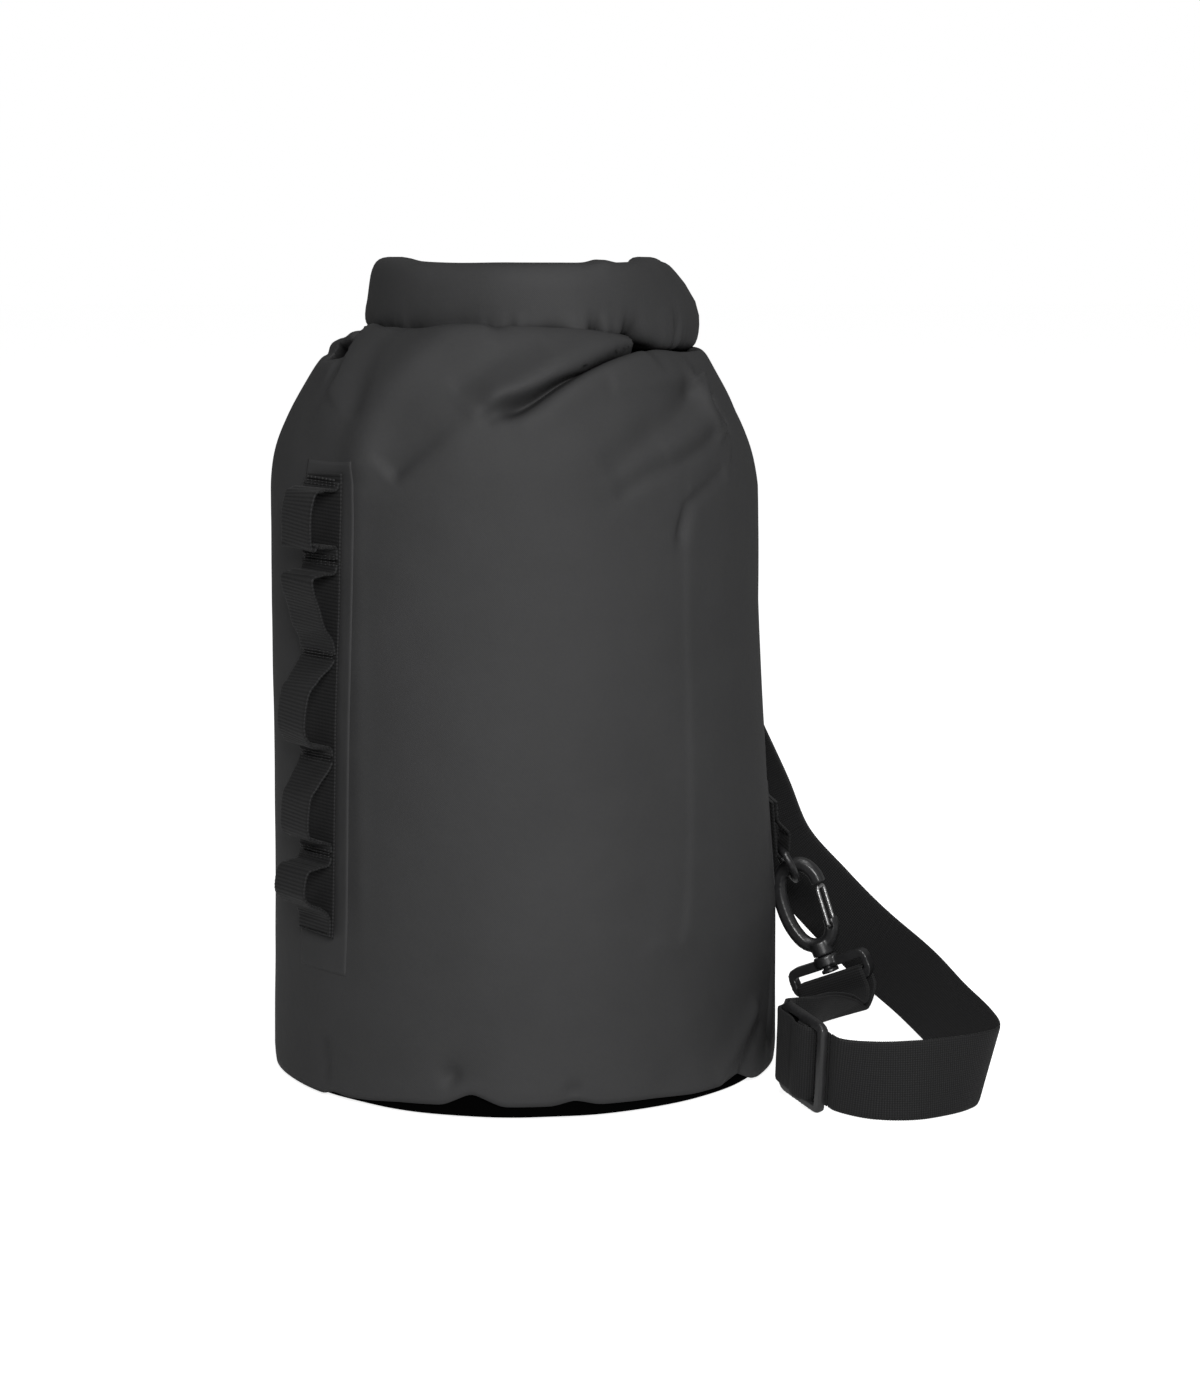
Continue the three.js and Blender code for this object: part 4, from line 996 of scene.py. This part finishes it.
def adjuster_loop():
    """From the tri-glide's middle bar to the lower eye, round it, and back out through the tri-glide."""
    over = GLIDE_HALF_THICK + GLIDE_GAP + WEB_THICK / 2
    under, second = -over, over + WEB_THICK + GLIDE_GAP
    wrap = GLIDE_BAR_HALF + 0.6 + WEB_THICK / 2

    def bend(offset):
        """The way between the eye and the glide, one leg to each side of it."""
        return [
            ((154 + offset * 0.4, -2, 21 - offset * 1.4), (0.82, -0.42, 0.32)),
            ((148.5 + offset * 0.8, -14, 22.5 - offset * 1.3), (0.7, -0.4, 0.55)),
            ((142 + offset, -32, 23.5 - offset * 0.7), (0.46, -0.36, 0.8)),
            ((135.5 + offset * 1.1, -53, 24.5 - offset * 0.3), (0.22, -0.3, 0.92)),
            ((127 + offset * 1.2, -75, 28), (0.04, -0.26, 0.96)),
        ]

    out = [(-1.5, over), (1.6, over), (3.3, 2.3), (wrap, 0.6), (wrap, -0.6), (3.3, -2.3), (1.6, under),
           (-3, under), (-11, under - 0.3), (-15.5, under - 1.3)]
    back = [(-19, -0.6), (-18.1, 1.8), (-14, over + 0.2), (-6, over + 0.4), (-2, second), (2, second),
            (5.6, over), (8.4, under + 0.9), (12, under), (16.4, under - 0.1)]
    stations = [at_glide(*p) for p in out] + bend(1.1)[::-1] + round_eye(LOWER_EYE)[::-1]
    stations += bend(-1.1) + [at_glide(*p) for p in back]
    line, ways = route(stations)
    return ribbon("adjuster_loop_web", "adjuster_loop", line, ways, STRAP_WIDTH, FINE_RIB)


BUCKLE_CENTRE = (6, 77, 370.0)
BUCKLE_PIN = 28  # from the buckle's middle to the bars that its tabs go round
PIN_WRAP = 4.12  # from a bar's middle to the middle of the webbing round it


def buckle_tabs():
    """A doubled webbing at each end of the roll, from between its layers to the buckle's bar and back."""
    half_gap, inside, outside = 1.3, -8, 2.6
    for side, name in ((-1, "left"), (1, "right")):
        x, y = roll_line(side * ROLL_END)
        end = np.array([x, y, ROLL_CENTRE[2] - 1.5 - roll_drop(ROLL_END)])
        pin = np.array([BUCKLE_CENTRE[0] + side * BUCKLE_PIN, *BUCKLE_CENTRE[1:]])
        along = unit(pin - end)
        aside = np.array([-along[1], along[0], 0])
        line = [end + along * reach + aside * half_gap for reach in (inside, outside)]
        for turn in np.radians(np.arange(90, -91, -30)):
            line.append(pin + along * PIN_WRAP * math.cos(turn) + aside * PIN_WRAP * math.sin(turn))
        line += [end + along * reach - aside * half_gap for reach in (outside, inside)]
        points, ways = route([(p, (0, 0, 1)) for p in line])
        ribbon(f"buckle_tab_web_{name}", f"buckle_tab_{name}", points, ways)


def strap_work():
    for name, (azimuth, z) in CLIPS.items():
        ring_patch(name, azimuth, z)
        ring_tab(name, azimuth, z)
    buckle_tabs()
    glide = moulded_copy("tri_glide", "root", PLASTIC, "moulded_plastic", swell=0.4)
    strap, path = shoulder_strap()
    loop = adjuster_loop()


# ---- Camera, light and floor ----
WHITE = (1, 1, 1, 1)
CAMERA_PLACE, CAMERA_TILT = (0.0375, -1.6697, 0.4505), 9.117  # metres, and degrees below level
# Name, place, what it points at (metres), size (metres) and power (watts)
LIGHTS = [
    ("key", (0.3, -2.2, 1.05), (0, 0, 0.22), 0.8, 56),
    ("top", (0.2, -0.5, 2.0), (0, 0, 0.3), 0.9, 12),
]
FLOOR_HALF, FLOOR_Z = 8000.0, -0.3  # millimetres


def place_camera(scene):
    camera = bpy.data.objects.new("camera", bpy.data.cameras.new("camera"))
    scene.collection.objects.link(camera)
    camera.location = CAMERA_PLACE
    camera.rotation_euler = (math.radians(90 - CAMERA_TILT), 0, 0)
    camera.data.lens = 89.4
    camera.data.sensor_width = 36
    camera.data.clip_end = 50
    scene.camera = camera


def light_room(scene):
    """White surroundings that shine weakly on the bag, and two soft lights."""
    world = bpy.data.worlds.new("studio")
    scene.world = world
    world.use_nodes = True
    tree = world.node_tree
    background = tree.nodes["Background"]
    background.inputs["Color"].default_value = WHITE
    seen = tree.nodes.new("ShaderNodeLightPath").outputs["Is Camera Ray"]
    tree.links.new(remap(tree, seen, 0.2, 1.0), background.inputs["Strength"])
    scene.view_settings.view_transform = "Standard"
    for name, place, aim, size, power in LIGHTS:
        light = bpy.data.objects.new(name, bpy.data.lights.new(name, "AREA"))
        light.data.shape = "DISK"
        light.data.size = size
        light.data.energy = power
        light.location = place
        light.rotation_euler = (Vector(aim) - Vector(place)).to_track_quat("-Z", "Y").to_euler()
        scene.collection.objects.link(light)


def pale_floor():
    half = FLOOR_HALF
    corners = [(-half, -half, FLOOR_Z), (half, -half, FLOOR_Z), (half, half, FLOOR_Z), (-half, half, FLOOR_Z)]
    floor = new_object("floor", corners, [(0, 1, 2, 3)], smooth=False)
    material, tree, bsdf = shader("floor", (0.7, 0.7, 0.7), 0.9, specular=0.1)
    bsdf.inputs["Emission Color"].default_value = WHITE
    seen = tree.nodes.new("ShaderNodeLightPath").outputs["Is Camera Ray"]
    tree.links.new(remap(tree, seen, 0.1, 0.85), bsdf.inputs["Emission Strength"])
    floor.data.materials.append(material)


bag_body()
base_panel()
roll_top()
mouth_stiffener()
daisy_patch()
daisy_backing()
daisy_loops()
daisy_stitching()
hardware()
strap_work()
place_camera(bpy.context.scene)
light_room(bpy.context.scene)
pale_floor()
